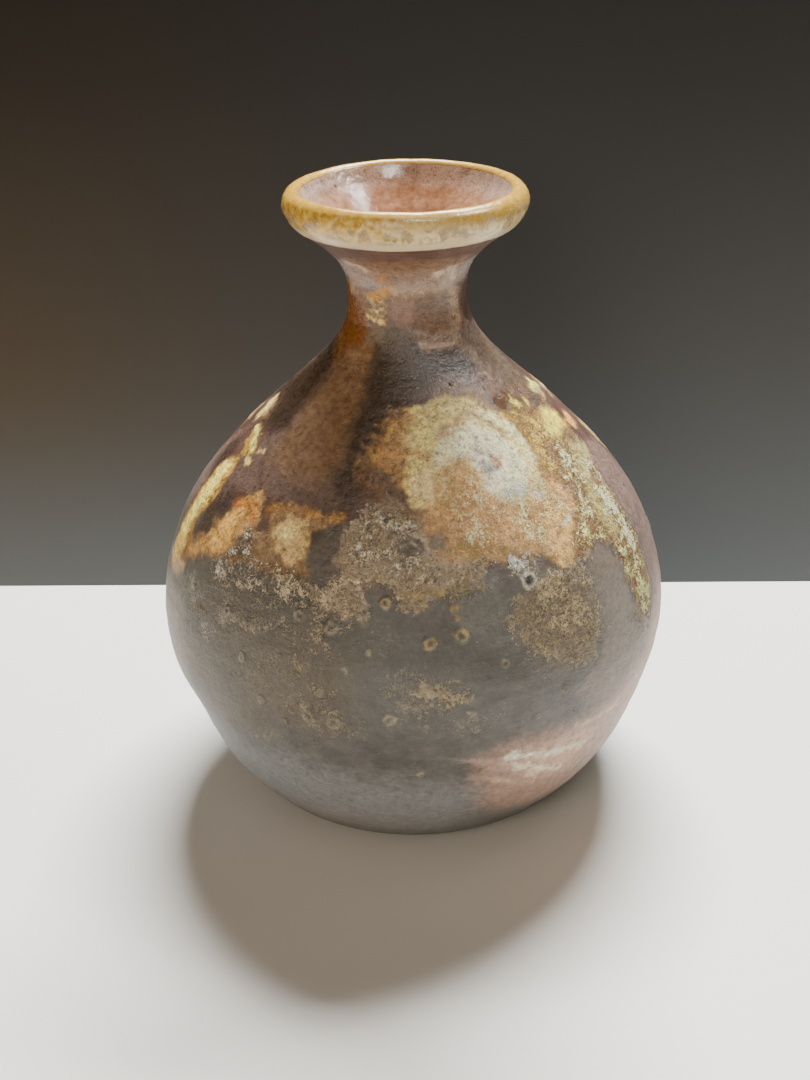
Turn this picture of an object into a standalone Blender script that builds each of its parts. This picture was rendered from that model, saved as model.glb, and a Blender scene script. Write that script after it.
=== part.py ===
# Wood-fired stoneware sake bottle (tokkuri).
#
# The bottle is built the way it is made: a floor slab, a thrown lower bowl, a
# thrown shoulder dome, a neck collar, a flared mouth and a rolled lip, luted
# together on bevelled joints, with the ash glass that fused on it as thin
# separate layers.  Units are metres, +Z is up, and the origin is the centre of
# the flat underside.

import math

import bpy
import bmesh
import numpy as np
from mathutils import Matrix, Vector

MM = 0.001

# ------------------------------------------------------------ driving sizes
HEIGHT = 121.4 * MM            # floor to the top of the lip
FOOT_R = 32.4 * MM             # radius of the standing face's outer edge
FOOT_ROUND = 1.6 * MM          # rounding of that edge
BELLY_R, BELLY_Z = 49.9 * MM, 36.0 * MM
SHOULDER_R, SHOULDER_Z = 33.4 * MM, 73.0 * MM
THROAT_R, THROAT_Z = 11.1 * MM, 102.0 * MM
LIP_R = 22.6 * MM              # outside of the rolled lip, glaze included
LIP_TALL = 6.8 * MM            # height of the rolled band
BORE_R = 8.1 * MM              # inside of the throat
FLOOR_T = 5.2 * MM             # thickness of the floor slab
WALL_FOOT = 4.6 * MM           # wall beside the floor
WALL_BELLY = 3.9 * MM          # wall at the belly and shoulder
WALL_NECK = 3.0 * MM           # wall at the throat
JOINT_FLOOR_Z = 4.0 * MM       # outside heights of the luted joints
JOINT_BELLY_Z = 29.5 * MM
JOINT_NECK_Z = 95.0 * MM
JOINT_MOUTH_Z = 107.0 * MM
JOINT_RISE = 1.5 * MM          # how far a bevelled joint climbs through the wall
JOINT_GAP = 0.42 * MM          # slip line left open between two members
GLASS_GAP = 0.32 * MM          # clearance between clay and glass
GLASS_T = 0.9 * MM             # thickness of a fused ash layer
LIP_GLASS_T = 0.6 * MM
STEPS = 44                     # facets round a turned piece


# ---------------------------------------------------------- wall geometry
def natural_spline(stations):
    """Cubic through (z, r) stations, free at both ends."""
    z = np.array([s[0] for s in stations])
    r = np.array([s[1] for s in stations])
    n, h = len(z), np.diff(z)
    a, b = np.zeros((n, n)), np.zeros(n)
    a[0, 0] = a[-1, -1] = 1.0
    for i in range(1, n - 1):
        a[i, i - 1:i + 2] = h[i - 1], 2 * (h[i - 1] + h[i]), h[i]
        b[i] = 3 * ((r[i + 1] - r[i]) / h[i] - (r[i] - r[i - 1]) / h[i - 1])
    c = np.linalg.solve(a, b)
    d = (c[1:] - c[:-1]) / (3 * h)
    m = np.diff(r) / h - h * (2 * c[:-1] + c[1:]) / 3

    def value(t, slope=False):
        k = int(min(max(np.searchsorted(z, t) - 1, 0), n - 2))
        u = t - z[k]
        if slope:
            return float(m[k] + 2 * c[k] * u + 3 * d[k] * u * u)
        return float(r[k] + m[k] * u + c[k] * u * u + d[k] * u ** 3)

    return value


# the outside of the clay wall, from the standing face to the lip's underside
outer_r = natural_spline([
    (0.0, FOOT_R),
    (8 * MM, FOOT_R + 7.0 * MM),
    (20 * MM, BELLY_R - 4.5 * MM),
    (BELLY_Z, BELLY_R),
    (50 * MM, BELLY_R - 1.7 * MM),
    (62 * MM, BELLY_R - 7.3 * MM),
    (SHOULDER_Z, SHOULDER_R),
    (83 * MM, 22.9 * MM),
    (91 * MM, 15.0 * MM),
    (97 * MM, THROAT_R + 0.5 * MM),
    (THROAT_Z, THROAT_R),
    (106.5 * MM, THROAT_R + 0.9 * MM),
    (110.5 * MM, 15.0 * MM),
    (HEIGHT - LIP_TALL, 20.0 * MM),
])

# the inside of the throat and funnel
funnel_r = natural_spline([
    (98 * MM, BORE_R),
    (103 * MM, BORE_R),
    (107 * MM, BORE_R + 0.9 * MM),
    (111 * MM, 11.6 * MM),
    (115 * MM, 15.2 * MM),
    (118.5 * MM, 18.2 * MM),
    (121 * MM, 19.9 * MM),
])


def normal_at(z):
    """Outward normal (radial, vertical) of the outside at height z."""
    s = outer_r(z, slope=True)
    k = math.hypot(1.0, s)
    return 1.0 / k, -s / k


def wall(z):
    """Wall thickness beside the outside height z."""
    if z <= BELLY_Z:
        f = z / BELLY_Z
        return WALL_FOOT + (WALL_BELLY - WALL_FOOT) * f
    f = min((z - BELLY_Z) / (JOINT_NECK_Z - BELLY_Z), 1.0)
    return WALL_BELLY + (WALL_NECK - WALL_BELLY) * f * f


def outside(z, off=0.0):
    nr, nz = normal_at(z)
    return outer_r(z) + nr * off, z + nz * off


def inside(z):
    """Point of the inner face opposite the outside height z."""
    return outside(z, -wall(z))


def span(a, b, n):
    return [a + (b - a) * i / (n - 1) for i in range(n)]


def cosine_span(a, b, n):
    return [a + (b - a) * 0.5 * (1 - math.cos(math.pi * i / (n - 1))) for i in range(n)]


def arc(cx, cz, r, a0, a1, n):
    return [(cx + r * math.cos(math.radians(a)), cz + r * math.sin(math.radians(a)))
            for a in span(a0, a1, n)]


# ------------------------------------------------------------- the builders
def clear_scene():
    for ob in list(bpy.data.objects):
        bpy.data.objects.remove(ob, do_unlink=True)


clear_scene()
bottle = bpy.data.collections.new("sake_bottle")
bpy.context.scene.collection.children.link(bottle)
cutters = bpy.data.collections.new("cutters")
bpy.context.scene.collection.children.link(cutters)

axis = bpy.data.objects.new("bottle_axis", None)
axis.empty_display_size = 0.02
bottle.objects.link(axis)


def clay(name, colour, rough, metallic=0.0):
    m = bpy.data.materials.new(name)
    m.use_nodes = True
    p = m.node_tree.nodes["Principled BSDF"]
    p.inputs["Base Color"].default_value = (*colour, 1.0)
    p.inputs["Roughness"].default_value = rough
    p.inputs["Metallic"].default_value = metallic
    m.diffuse_color = (*colour, 1.0)
    return m


def turned(name, points, closed, material):
    """A turned member: its section in the XZ plane, swept round the axis."""
    me = bpy.data.meshes.new(name)
    bm = bmesh.new()
    vs = [bm.verts.new((r, 0.0, z)) for r, z in points]
    for a, b in zip(vs, vs[1:]):
        bm.edges.new((a, b))
    if closed:
        bm.edges.new((vs[-1], vs[0]))
    bm.to_mesh(me)
    bm.free()
    ob = bpy.data.objects.new(name, me)
    bottle.objects.link(ob)
    ob.parent = axis
    ob.data.materials.append(material)
    sc = ob.modifiers.new("turn", "SCREW")
    sc.axis = "Z"
    sc.angle = 2 * math.pi
    sc.steps = sc.render_steps = STEPS
    sc.use_merge_vertices = True
    sc.merge_threshold = 0.00001
    sc.use_smooth_shade = True
    sc.use_normal_calculate = False
    return ob


def outline_cutter(name, az, z, half_w, half_h, waves):
    """A prism along the outside's normal, with an irregular rounded outline."""
    a = math.radians(az)
    r = outer_r(z)
    nr, nz = normal_at(z)
    radial = Vector((math.sin(a), -math.cos(a), 0.0))
    across = Vector((math.cos(a), math.sin(a), 0.0))
    n = radial * nr + Vector((0, 0, 1)) * nz
    up = n.cross(across)
    me = bpy.data.meshes.new(name)
    bm = bmesh.new()
    bmesh.ops.create_cone(bm, cap_ends=True, cap_tris=False, segments=26,
                          radius1=1.0, radius2=1.0, depth=24 * MM)
    for v in bm.verts:
        phi = math.atan2(v.co.y, v.co.x)
        k = 1.0 + sum(amp * math.cos(order * phi + ph) for order, amp, ph in waves)
        v.co.x = half_w * k * math.cos(phi)
        v.co.y = half_h * k * math.sin(phi)
    bm.to_mesh(me)
    bm.free()
    ob = bpy.data.objects.new(name, me)
    cutters.objects.link(ob)
    m = Matrix((across, up, n)).transposed().to_4x4()
    m.translation = radial * r + Vector((0, 0, z))
    ob.matrix_world = m
    ob.hide_render = True
    ob.display_type = "WIRE"
    return ob


def ash_layer(name, az, z, half_w, half_h, waves, material):
    """Fused ash glass: a thin shell that follows the wall, cut to an outline."""
    z0, z1 = max(z - half_h - 5 * MM, 6 * MM), min(z + half_h + 5 * MM, 96 * MM)
    n = max(7, int(round((z1 - z0) / (3.4 * MM))))
    ob = turned(name, [outside(t, GLASS_GAP) for t in span(z1, z0, n)], False, material)
    so = ob.modifiers.new("thickness", "SOLIDIFY")
    so.thickness = GLASS_T
    so.offset = 1.0
    so.use_even_offset = True
    cut = outline_cutter(name + "_outline", az, z, half_w, half_h, waves)
    bo = ob.modifiers.new("outline", "BOOLEAN")
    bo.operation = "INTERSECT"
    bo.solver = "EXACT"
    bo.object = cut
    return ob


# ---------------------------------------------------------------- materials
slate = clay("clay_reduced", (0.13, 0.115, 0.10), 0.55)
umber = clay("clay_flashed", (0.13, 0.075, 0.055), 0.42)
mauve = clay("clay_throat", (0.20, 0.13, 0.11), 0.32)
cream = clay("glass_cream", (0.60, 0.47, 0.27), 0.22)
rose = clay("glass_rose", (0.36, 0.24, 0.20), 0.18)
celadon = clay("glass_celadon", (0.50, 0.45, 0.30), 0.28)
granular = clay("glass_granular", (0.24, 0.19, 0.12), 0.60)
gold = clay("glass_gold", (0.50, 0.31, 0.09), 0.35)

# ------------------------------------------------------------ clay members
half = JOINT_GAP / 2

# floor slab: flat top and underside, rounded standing edge, bevelled seat
seat_out = outside(JOINT_FLOOR_Z - half)
seat_in = (inside(FLOOR_T)[0] - 0.4 * MM, FLOOR_T)
edge_r = FOOT_R - 0.2 * MM
turned("base_disc",
       [(0.0, FLOOR_T), seat_in, seat_out, outside(2.2 * MM)]
       + arc(edge_r - FOOT_ROUND + 0.7 * MM, FOOT_ROUND, FOOT_ROUND, -15, -90, 4)
       + [(0.0, 0.0)],
       False, slate)


def member(name, z0, z1, n, material, lower=None, upper=None):
    """A ring of the wall between the outside heights z0 and z1, with bevelled ends."""
    z0, z1 = z0 + half, z1 - half
    out = [outside(t) for t in span(z1, z0, n)]
    inn = [inside(t) for t in span(z0 + JOINT_RISE, z1 + JOINT_RISE, n)]
    if lower:
        inn[0] = lower
    if upper:
        inn[-1] = upper
    return turned(name, out + inn, True, material)


member("lower_body", JOINT_FLOOR_Z, JOINT_BELLY_Z, 8, slate,
       lower=(seat_in[0] + 0.25 * MM, FLOOR_T + JOINT_GAP))
member("upper_body", JOINT_BELLY_Z, JOINT_NECK_Z, 13, umber)

# neck collar: waisted outside, straight bore
z0, z1 = JOINT_NECK_Z + half, JOINT_MOUTH_Z - half
low_in = inside(JOINT_NECK_Z + half + JOINT_RISE)
turned("neck_collar",
       [outside(t) for t in span(z1, z0, 6)]
       + [low_in]
       + [(funnel_r(t), t) for t in span(99 * MM, z1 + JOINT_RISE, 4)],
       True, mauve)

# flared mouth: from the collar to the lip, opening as a funnel
lip_under = HEIGHT - LIP_TALL
lip_seat_in = 117.6 * MM
turned("mouth_flare",
       [outside(t) for t in span(lip_under - half, JOINT_MOUTH_Z + half, 6)]
       + [(funnel_r(t), t)
          for t in span(JOINT_MOUTH_Z + half + JOINT_RISE, lip_seat_in - half, 6)],
       True, mauve)

# rolled lip: a rounded band on the flare's edge; the clay sits inside its glass
core = GLASS_GAP + LIP_GLASS_T


def lip_face(off):
    """Section of the lip from its under edge, round the outside, to the inner edge."""
    r0 = LIP_R - 3.0 * MM
    low = (LIP_R - 1.5 * MM, lip_under + 0.5 * MM)
    pts = []
    for a in span(-62, 12, 4):
        pts.append((LIP_R - 2.6 * MM + (2.6 * MM - off) * math.cos(math.radians(a)),
                    lip_under + 3.1 * MM + (2.9 * MM - off) * math.sin(math.radians(a))))
    for a in span(30, 150, 6):
        pts.append((r0 + 0.75 * MM + (2.0 * MM - off) * math.cos(math.radians(a)),
                    HEIGHT - 2.0 * MM + (2.0 * MM - off) * math.sin(math.radians(a))))
    return pts


face = lip_face(core)
turned("lip_band",
       list(reversed(face))
       + [(19.9 * MM, lip_under + half), (funnel_r(lip_seat_in + half), lip_seat_in + half)],
       True, cream)

# glass over the lip: a thin shell that stops short of the flare
glass_in = lip_face(LIP_GLASS_T)
glass_out = lip_face(0.0)
turned("lip_glaze", list(reversed(glass_out)) + glass_in, True, cream)

# glass lining of the funnel
lining = [funnel_r(t) - GLASS_GAP for t in span(106.5 * MM, 116.6 * MM, 6)]
heights = span(106.5 * MM, 116.6 * MM, 6)
turned("mouth_glaze",
       [(r, t) for r, t in reversed(list(zip(lining, heights)))]
       + [(r - 0.55 * MM, t) for r, t in zip(lining, heights)],
       True, rose)

# --------------------------------------------------------- fused ash layers
ash_layer("front_ash_pool", 19, 79.0 * MM, 12.8 * MM, 10.2 * MM,
          [(2, 0.05, 0.6), (3, 0.06, 1.9), (5, 0.035, 0.4)], celadon)
ash_layer("front_crust", 3, 63.2 * MM, 14.0 * MM, 5.8 * MM,
          [(3, 0.07, 0.8), (4, 0.05, 2.2), (7, 0.03, 1.0)], granular)
ash_layer("right_ash_run", 64, 62.0 * MM, 6.6 * MM, 15.5 * MM,
          [(2, 0.04, 2.8), (3, 0.07, 0.2), (5, 0.03, 1.4)], gold)
ash_layer("left_ash_patch", -43, 65.0 * MM, 13.5 * MM, 5.4 * MM,
          [(3, 0.09, 2.6), (5, 0.06, 0.7), (6, 0.03, 1.7)], gold)
ash_layer("left_ash_streak", -76, 62.0 * MM, 3.0 * MM, 11.0 * MM,
          [(2, 0.04, 0.3), (3, 0.05, 1.1)], gold)
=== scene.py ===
# Looks of the wood-fired sake bottle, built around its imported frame.
import math
import bpy
import numpy as np
from mathutils import Matrix, Vector


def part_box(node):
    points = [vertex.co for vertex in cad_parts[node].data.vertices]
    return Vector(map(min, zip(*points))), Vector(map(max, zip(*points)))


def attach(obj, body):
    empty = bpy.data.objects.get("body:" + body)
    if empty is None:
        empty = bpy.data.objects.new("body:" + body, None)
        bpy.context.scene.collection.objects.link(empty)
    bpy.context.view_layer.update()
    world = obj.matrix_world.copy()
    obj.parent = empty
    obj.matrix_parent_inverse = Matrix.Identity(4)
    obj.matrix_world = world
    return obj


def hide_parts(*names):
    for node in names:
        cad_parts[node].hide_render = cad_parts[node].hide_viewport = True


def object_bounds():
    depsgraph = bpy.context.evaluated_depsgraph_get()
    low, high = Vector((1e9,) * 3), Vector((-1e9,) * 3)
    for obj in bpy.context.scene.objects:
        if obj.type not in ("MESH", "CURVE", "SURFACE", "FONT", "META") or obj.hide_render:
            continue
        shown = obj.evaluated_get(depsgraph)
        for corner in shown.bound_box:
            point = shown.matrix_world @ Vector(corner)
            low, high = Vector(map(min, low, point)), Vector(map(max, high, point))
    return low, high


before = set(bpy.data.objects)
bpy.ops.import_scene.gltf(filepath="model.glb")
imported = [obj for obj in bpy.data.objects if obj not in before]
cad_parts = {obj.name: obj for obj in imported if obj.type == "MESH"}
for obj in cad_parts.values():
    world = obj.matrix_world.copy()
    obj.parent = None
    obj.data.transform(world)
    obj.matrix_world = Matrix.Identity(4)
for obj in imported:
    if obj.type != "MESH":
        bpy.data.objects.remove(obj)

cad_lo, cad_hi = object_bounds()
MM = 0.001
TAU = 2.0 * math.pi

# =====================================================================
# noise (all lengths in millimetres from here on)
# =====================================================================
def _hash(ix, iy, iz, seed):
    h = (ix.astype(np.uint32) * np.uint32(374761393)
         + iy.astype(np.uint32) * np.uint32(668265263)
         + iz.astype(np.uint32) * np.uint32(2147483647)
         + np.uint32((seed * 1274126177 + 97) & 0xFFFFFFFF))
    h = (h ^ (h >> np.uint32(13))) * np.uint32(1274126177)
    h = (h ^ (h >> np.uint32(16))) * np.uint32(2246822519)
    h = h ^ (h >> np.uint32(15))
    return h


def _unit(h):
    return (h & np.uint32(0xFFFFFF)).astype(np.float64) / 16777216.0


_G = np.array([(1, 1, 0), (-1, 1, 0), (1, -1, 0), (-1, -1, 0), (1, 0, 1), (-1, 0, 1),
               (1, 0, -1), (-1, 0, -1), (0, 1, 1), (0, -1, 1), (0, 1, -1), (0, -1, -1)], float)


def perlin(p, seed=0):
    i = np.floor(p).astype(np.int64)
    f = p - i
    w = f * f * f * (f * (f * 6 - 15) + 10)
    out = 0.0
    for dx in (0, 1):
        for dy in (0, 1):
            for dz in (0, 1):
                g = _G[_hash(i[..., 0] + dx, i[..., 1] + dy, i[..., 2] + dz, seed) % np.uint32(12)]
                d = (g[..., 0] * (f[..., 0] - dx) + g[..., 1] * (f[..., 1] - dy)
                     + g[..., 2] * (f[..., 2] - dz))
                k = ((w[..., 0] if dx else 1 - w[..., 0]) * (w[..., 1] if dy else 1 - w[..., 1])
                     * (w[..., 2] if dz else 1 - w[..., 2]))
                out = out + k * d
    return out


_ROT = np.array([[0.36, 0.48, -0.8], [-0.8, 0.6, 0.0], [0.48, 0.64, 0.6]])


def fbm(p, size, octaves=3, seed=0, gain=0.5):
    """Fractal noise, about -1..1, whose largest feature is `size` mm."""
    q = p / size
    amp, tot, out = 1.0, 0.0, 0.0
    for o in range(octaves):
        out = out + amp * perlin(q, seed + 17 * o)
        tot += amp
        amp *= gain
        q = (q @ _ROT) * 2.03 + 11.3
    return out * 1.5 / tot


def cells(p, size, seed=0):
    """Nearest and second distance to scattered points, in cell units, and the cell's own number."""
    q = p / size
    i = np.floor(q).astype(np.int64)
    f1 = np.full(q.shape[:-1], 9.0)
    f2 = np.full(q.shape[:-1], 9.0)
    idn = np.zeros(q.shape[:-1])
    for dx in (-1, 0, 1):
        for dy in (-1, 0, 1):
            for dz in (-1, 0, 1):
                cx, cy, cz = i[..., 0] + dx, i[..., 1] + dy, i[..., 2] + dz
                px = cx + _unit(_hash(cx, cy, cz, seed))
                py = cy + _unit(_hash(cx, cy, cz, seed + 1))
                pz = cz + _unit(_hash(cx, cy, cz, seed + 2))
                d = np.sqrt((q[..., 0] - px) ** 2 + (q[..., 1] - py) ** 2 + (q[..., 2] - pz) ** 2)
                near = d < f1
                f2 = np.where(near, f1, np.minimum(f2, d))
                idn = np.where(near, _unit(_hash(cx, cy, cz, seed + 3)), idn)
                f1 = np.where(near, d, f1)
    return f1, f2, idn


def smooth(a, b, x):
    t = np.clip((x - a) / (b - a), 0.0, 1.0)
    return t * t * (3 - 2 * t)


# =====================================================================
# the turned wall
# =====================================================================
def natural_spline(stations):
    z = np.array([s[0] for s in stations], float)
    r = np.array([s[1] for s in stations], float)
    n, h = len(z), np.diff(z)
    a, b = np.zeros((n, n)), np.zeros(n)
    a[0, 0] = a[-1, -1] = 1.0
    for i in range(1, n - 1):
        a[i, i - 1:i + 2] = h[i - 1], 2 * (h[i - 1] + h[i]), h[i]
        b[i] = 3 * ((r[i + 1] - r[i]) / h[i] - (r[i] - r[i - 1]) / h[i - 1])
    c = np.linalg.solve(a, b)
    d = (c[1:] - c[:-1]) / (3 * h)
    m = np.diff(r) / h - h * (2 * c[:-1] + c[1:]) / 3

    def value(t, slope=False):
        t = np.asarray(t, float)
        k = np.clip(np.searchsorted(z, t) - 1, 0, n - 2)
        u = t - z[k]
        if slope:
            return m[k] + 2 * c[k] * u + 3 * d[k] * u * u
        return r[k] + m[k] * u + c[k] * u * u + d[k] * u ** 3

    return value


def corners(node):
    lo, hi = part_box(node)
    return np.array(lo) * 1000.0, np.array(hi) * 1000.0


lip_lo, lip_hi = corners("lip_glaze")
low_lo, low_hi = corners("lower_body")
upp_lo, upp_hi = corners("upper_body")
col_lo, col_hi = corners("neck_collar")
HEIGHT = float(cad_hi[2]) * 1000.0                  # top of the lip
BELLY_R = float(upp_hi[0] - upp_lo[0]) / 2.0        # widest radius
LIP_R = float(lip_hi[0] - lip_lo[0]) / 2.0
LIP_UNDER = HEIGHT - 6.8
Z_FLOOR, Z_BELLY, Z_NECK, Z_MOUTH = 4.0, 29.5, 95.0, 107.0
FOOT_R, THROAT_R, BORE_R, FLOOR_T = 32.4, 11.1, 8.1, 5.2

outer_r = natural_spline([
    (0.0, FOOT_R), (8, FOOT_R + 7.0), (20, BELLY_R - 4.5), (36, BELLY_R),
    (50, BELLY_R - 1.7), (62, BELLY_R - 7.3), (73, 33.4), (83, 22.9), (91, 15.0),
    (97, THROAT_R + 0.5), (102, THROAT_R), (106.5, THROAT_R + 0.9), (110.5, 15.0),
    (LIP_UNDER, 20.0)])
funnel_r = natural_spline([
    (98, BORE_R), (103, BORE_R), (107, BORE_R + 0.75), (111, 11.2), (115, 14.7),
    (118.5, 17.9), (120.4, 19.3)])

_zs = np.linspace(0.0, LIP_UNDER, 4000)
_arc = np.concatenate([[0.0], np.cumsum(np.hypot(np.diff(_zs), np.diff(outer_r(_zs))))])


def s_of_z(z):
    return np.interp(z, _zs, _arc)


def z_of_s(s):
    return np.interp(s, _arc, _zs)


def wall(z):
    z = np.asarray(z, float)
    low = 4.6 + (3.9 - 4.6) * z / 36.0
    f = np.minimum((z - 36.0) / (Z_NECK - 36.0), 1.0)
    return np.where(z <= 36.0, low, 3.9 - 0.9 * f * f)


def normal_rz(z):
    s = outer_r(z, slope=True)
    k = np.hypot(1.0, s)
    return 1.0 / k, -s / k


def lean(z):
    """Sideways drift of the axis: the belly sits a little to the right of the throat."""
    return 0.5 * np.exp(-((z - 86) / 13.0) ** 2) + 0.45 * np.exp(-((z - 17) / 12.0) ** 2)


def place(r, z, th):
    """Ring coordinates to millimetres in the bottle's frame. th = 0 faces -Y, + is to +X."""
    return np.stack([r * np.sin(th) + lean(z), -r * np.cos(th), z + 0 * th], -1)


def base_point(th, z):
    return place(outer_r(z), z, th)


# =====================================================================
# where the fire and the ash fell, in degrees round the axis and mm above the foot
# =====================================================================
def outline(th_deg, z, warp, pts, half=None):
    """Signed reach (mm) of a drawn outline, or of an open line of the given half width."""
    pts = np.asarray(pts, float)
    tc = 0.5 * (pts[:, 0].min() + pts[:, 0].max())
    s, rad = s_of_z(z), outer_r(z)
    pu, pv = outer_r(pts[:, 1]) * np.radians(pts[:, 0] - tc), s_of_z(pts[:, 1])
    out = np.full((len(z), len(th_deg)), -60.0)
    rows = np.nonzero((s > pv.min() - 6) & (s < pv.max() + 6))[0]
    if not len(rows):
        return out
    d = (th_deg - tc + 180.0) % 360.0 - 180.0
    pad = math.degrees(6.0 / max(8.0, float(rad[rows].min())))
    half_t = 0.5 * float(np.ptp(pts[:, 0])) + pad
    cols = np.nonzero(np.abs(d) < half_t)[0]
    if not len(cols):
        return out
    g = np.ix_(rows, cols)
    U = rad[rows][:, None] * np.radians(d[cols])[None, :] + warp[0][g]
    V = s[rows][:, None] + warp[1][g]
    best = np.full(U.shape, 1e6)
    inside = np.zeros(U.shape, bool)
    n = len(pts)
    for i in range(n if half is None else n - 1):
        ax, ay, bx, by = pu[i], pv[i], pu[(i + 1) % n], pv[(i + 1) % n]
        ex, ey = bx - ax, by - ay
        h = np.clip(((U - ax) * ex + (V - ay) * ey) / (ex * ex + ey * ey + 1e-9), 0, 1)
        best = np.minimum(best, (U - ax - h * ex) ** 2 + (V - ay - h * ey) ** 2)
        if half is None and by != ay:
            inside ^= ((ay > V) != (by > V)) & (U < ex * (V - ay) / (by - ay) + ax)
    dist = np.sqrt(best)
    out[g] = np.where(inside, dist, -dist) if half is None else half - dist
    return out


def ell(th_deg, z, warp, items, reach=7.0):
    """Signed reach (mm, + inside) of a union of leaning ellipses laid on the wall.

    th_deg and z are the columns and rows of a grid; warp is a pair of grids in mm."""
    s = s_of_z(z)
    rad = outer_r(z)
    best = np.full((len(z), len(th_deg)), -60.0)
    for it in items:
        if isinstance(it, list):
            best = np.maximum(best, outline(th_deg, z, warp, it))
            continue
        t0, z0, a, b = it[:4]
        rot = math.radians(it[4]) if len(it) > 4 else 0.0
        s0, r0 = float(s_of_z(z0)), float(outer_r(z0))
        far = max(a, b) + reach
        rows = np.nonzero(np.abs(s - s0) < far)[0]
        dth = (th_deg - t0 + 180.0) % 360.0 - 180.0
        if not len(rows):
            continue
        cols = np.nonzero(np.abs(np.radians(dth)) * 0.5 * (rad[rows].min() + r0) < far)[0]
        if not len(cols):
            continue
        g = np.ix_(rows, cols)
        rr = 0.5 * (rad[rows] + r0)[:, None]
        u = rr * np.radians(dth[cols])[None, :] + warp[0][g]
        v = (s[rows] - s0)[:, None] + warp[1][g]
        cu, su = math.cos(rot), math.sin(rot)
        uu, vv = u * cu + v * su, -u * su + v * cu
        d = np.sqrt((uu / a) ** 2 + (vv / b) ** 2)
        best[g] = np.maximum(best[g], (1.0 - d) * min(a, b) * np.where(d > 1, 1.35, 1.0))
    return best


POOL = [(-19, 80.5), (-15, 83.5), (-9, 85), (-3, 85.2), (4, 86), (12, 87), (20, 87.8), (28, 87.6), (34, 87.3),
        (38, 86), (42, 84.5), (46, 82.8), (50, 81.6), (54, 82.6), (57, 84.6), (61, 84.2), (64, 82.6), (68, 82.8),
        (71, 81.2), (75, 80.5), (80, 79.5), (82, 77), (76, 74), (74, 70.5), (70, 68), (68, 62), (66, 56), (65, 50),
        (61, 50), (58, 56), (56, 61), (50, 61), (44, 60.5), (40, 59.6), (36, 60.5), (34, 63.5), (28, 63), (22, 64),
        (17, 65.5), (12, 64.5), (8, 66), (4, 68.5), (0, 70), (-6, 71.5), (-10, 73), (-14, 74.5), (-19, 75.5), (-22, 77.5)]
STAR = [(-62, 60.5), (-59.5, 64.5), (-55, 69), (-51, 70.8), (-48, 70), (-46, 67.3), (-43.5, 65.3), (-41, 66.2),
        (-41, 69), (-43, 70.3), (-36, 70.8), (-28, 70.2), (-20, 70.8), (-19, 69.9), (-24, 69), (-27.5, 67.3),
        (-28, 64.8), (-25.5, 62.2), (-25, 60.8), (-32, 60.3), (-38, 60), (-44, 60.3), (-50, 59.6), (-56, 58.8),
        (-62, 57), (-68, 54.5), (-72, 54), (-70, 57.5), (-66, 59.4)]
STREAK = [(-81, 51), (-82, 57), (-80.5, 62), (-81.5, 68), (-80, 70.8), (-74, 72.3), (-70.5, 71.6), (-69, 69),
          (-70.5, 64), (-71.5, 60.5), (-69, 57.5), (-67, 55), (-70, 52), (-75, 49.8)]
SPLASH = [(-80, 77), (-77, 77.3), (-71, 75.6), (-67.5, 75.2), (-66.5, 74), (-69, 73.2), (-74, 72.9), (-77, 74), (-80, 75.5)]
RUN_OUT = [(84, 83), (88, 84), (94, 83), (96, 81.5), (90, 80.8), (84, 80.4), (78, 78.4), (80, 80.6)]
CORAL = [(55, 75), (60, 76), (68, 75.5), (76, 74.5), (74, 70.5), (70, 67.5), (69.5, 60), (69, 54), (68, 48), (65, 42.5),
         (62, 44), (60, 49), (57, 53), (57.5, 58), (55, 61.4), (50, 61), (46, 59.6), (43, 61.5), (46, 64.5), (50, 66.5),
         (54, 69.5), (53.5, 72)]
RISE = [(8, 75), (13, 77.5), (18, 78.2), (21, 76.5), (23, 73.5), (27, 71), (33, 70.5), (38, 71), (44, 72), (48, 73),
        (52, 70), (50, 66), (46, 63.5), (40, 60), (36, 61.5), (34, 63.5), (28, 63), (22, 63.6), (17, 64), (12, 63),
        (6, 65), (2, 69.5), (4, 72.8)]
BRAIN = [(-18, 67.5), (-13, 71.5), (-6, 73), (0, 71), (4, 69), (6, 66), (12, 64), (16, 61.5), (14, 59.6), (10, 60.3),
         (6, 60), (2, 57.6), (-2, 59.4), (-6, 61.8), (-10, 62), (-12, 58.5), (-11, 56), (-16, 56.2), (-21, 57.8),
         (-24, 58.8), (-20, 60), (-16.5, 62), (-18.5, 64)]
NET = [(22, 57.5), (26, 60), (30, 60.2), (36, 60.5), (45, 60), (46.5, 56), (45.5, 48), (43, 42), (36, 41.5), (32, 44.5),
       (27, 46), (24, 49), (21, 52), (19, 56)]
GOLD = [  # amber to yellow ash glass
    POOL, STAR, STREAK, SPLASH, RUN_OUT,
    (-66, 72.9, 1.8, 0.7), (-63, 74.9, 2.0, 0.6), (-87, 78.8, 4.6, 2.4, -5), (87, 75.4, 3.4, 1.6),
    # round the back
    (-108, 74, 5.5, 3.6, 25), (-121, 66, 3.4, 7.0, 10), (-134, 77, 5.0, 2.4, -15), (-150, 69, 7.0, 4.0, 10),
    (-163, 60, 3.0, 5.5), (150, 79, 8.0, 4.5, -20), (128, 72, 6.5, 6.5), (119, 62, 3.6, 7.0, -6),
    (104, 80, 5.0, 3.0, 10), (99, 70, 3.0, 6.0), (172, 73, 4.5, 3.0),
    # throat
    (-28, 102.2, 3.0, 1.6), (-30, 99.6, 2.2, 1.2),
]
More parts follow.
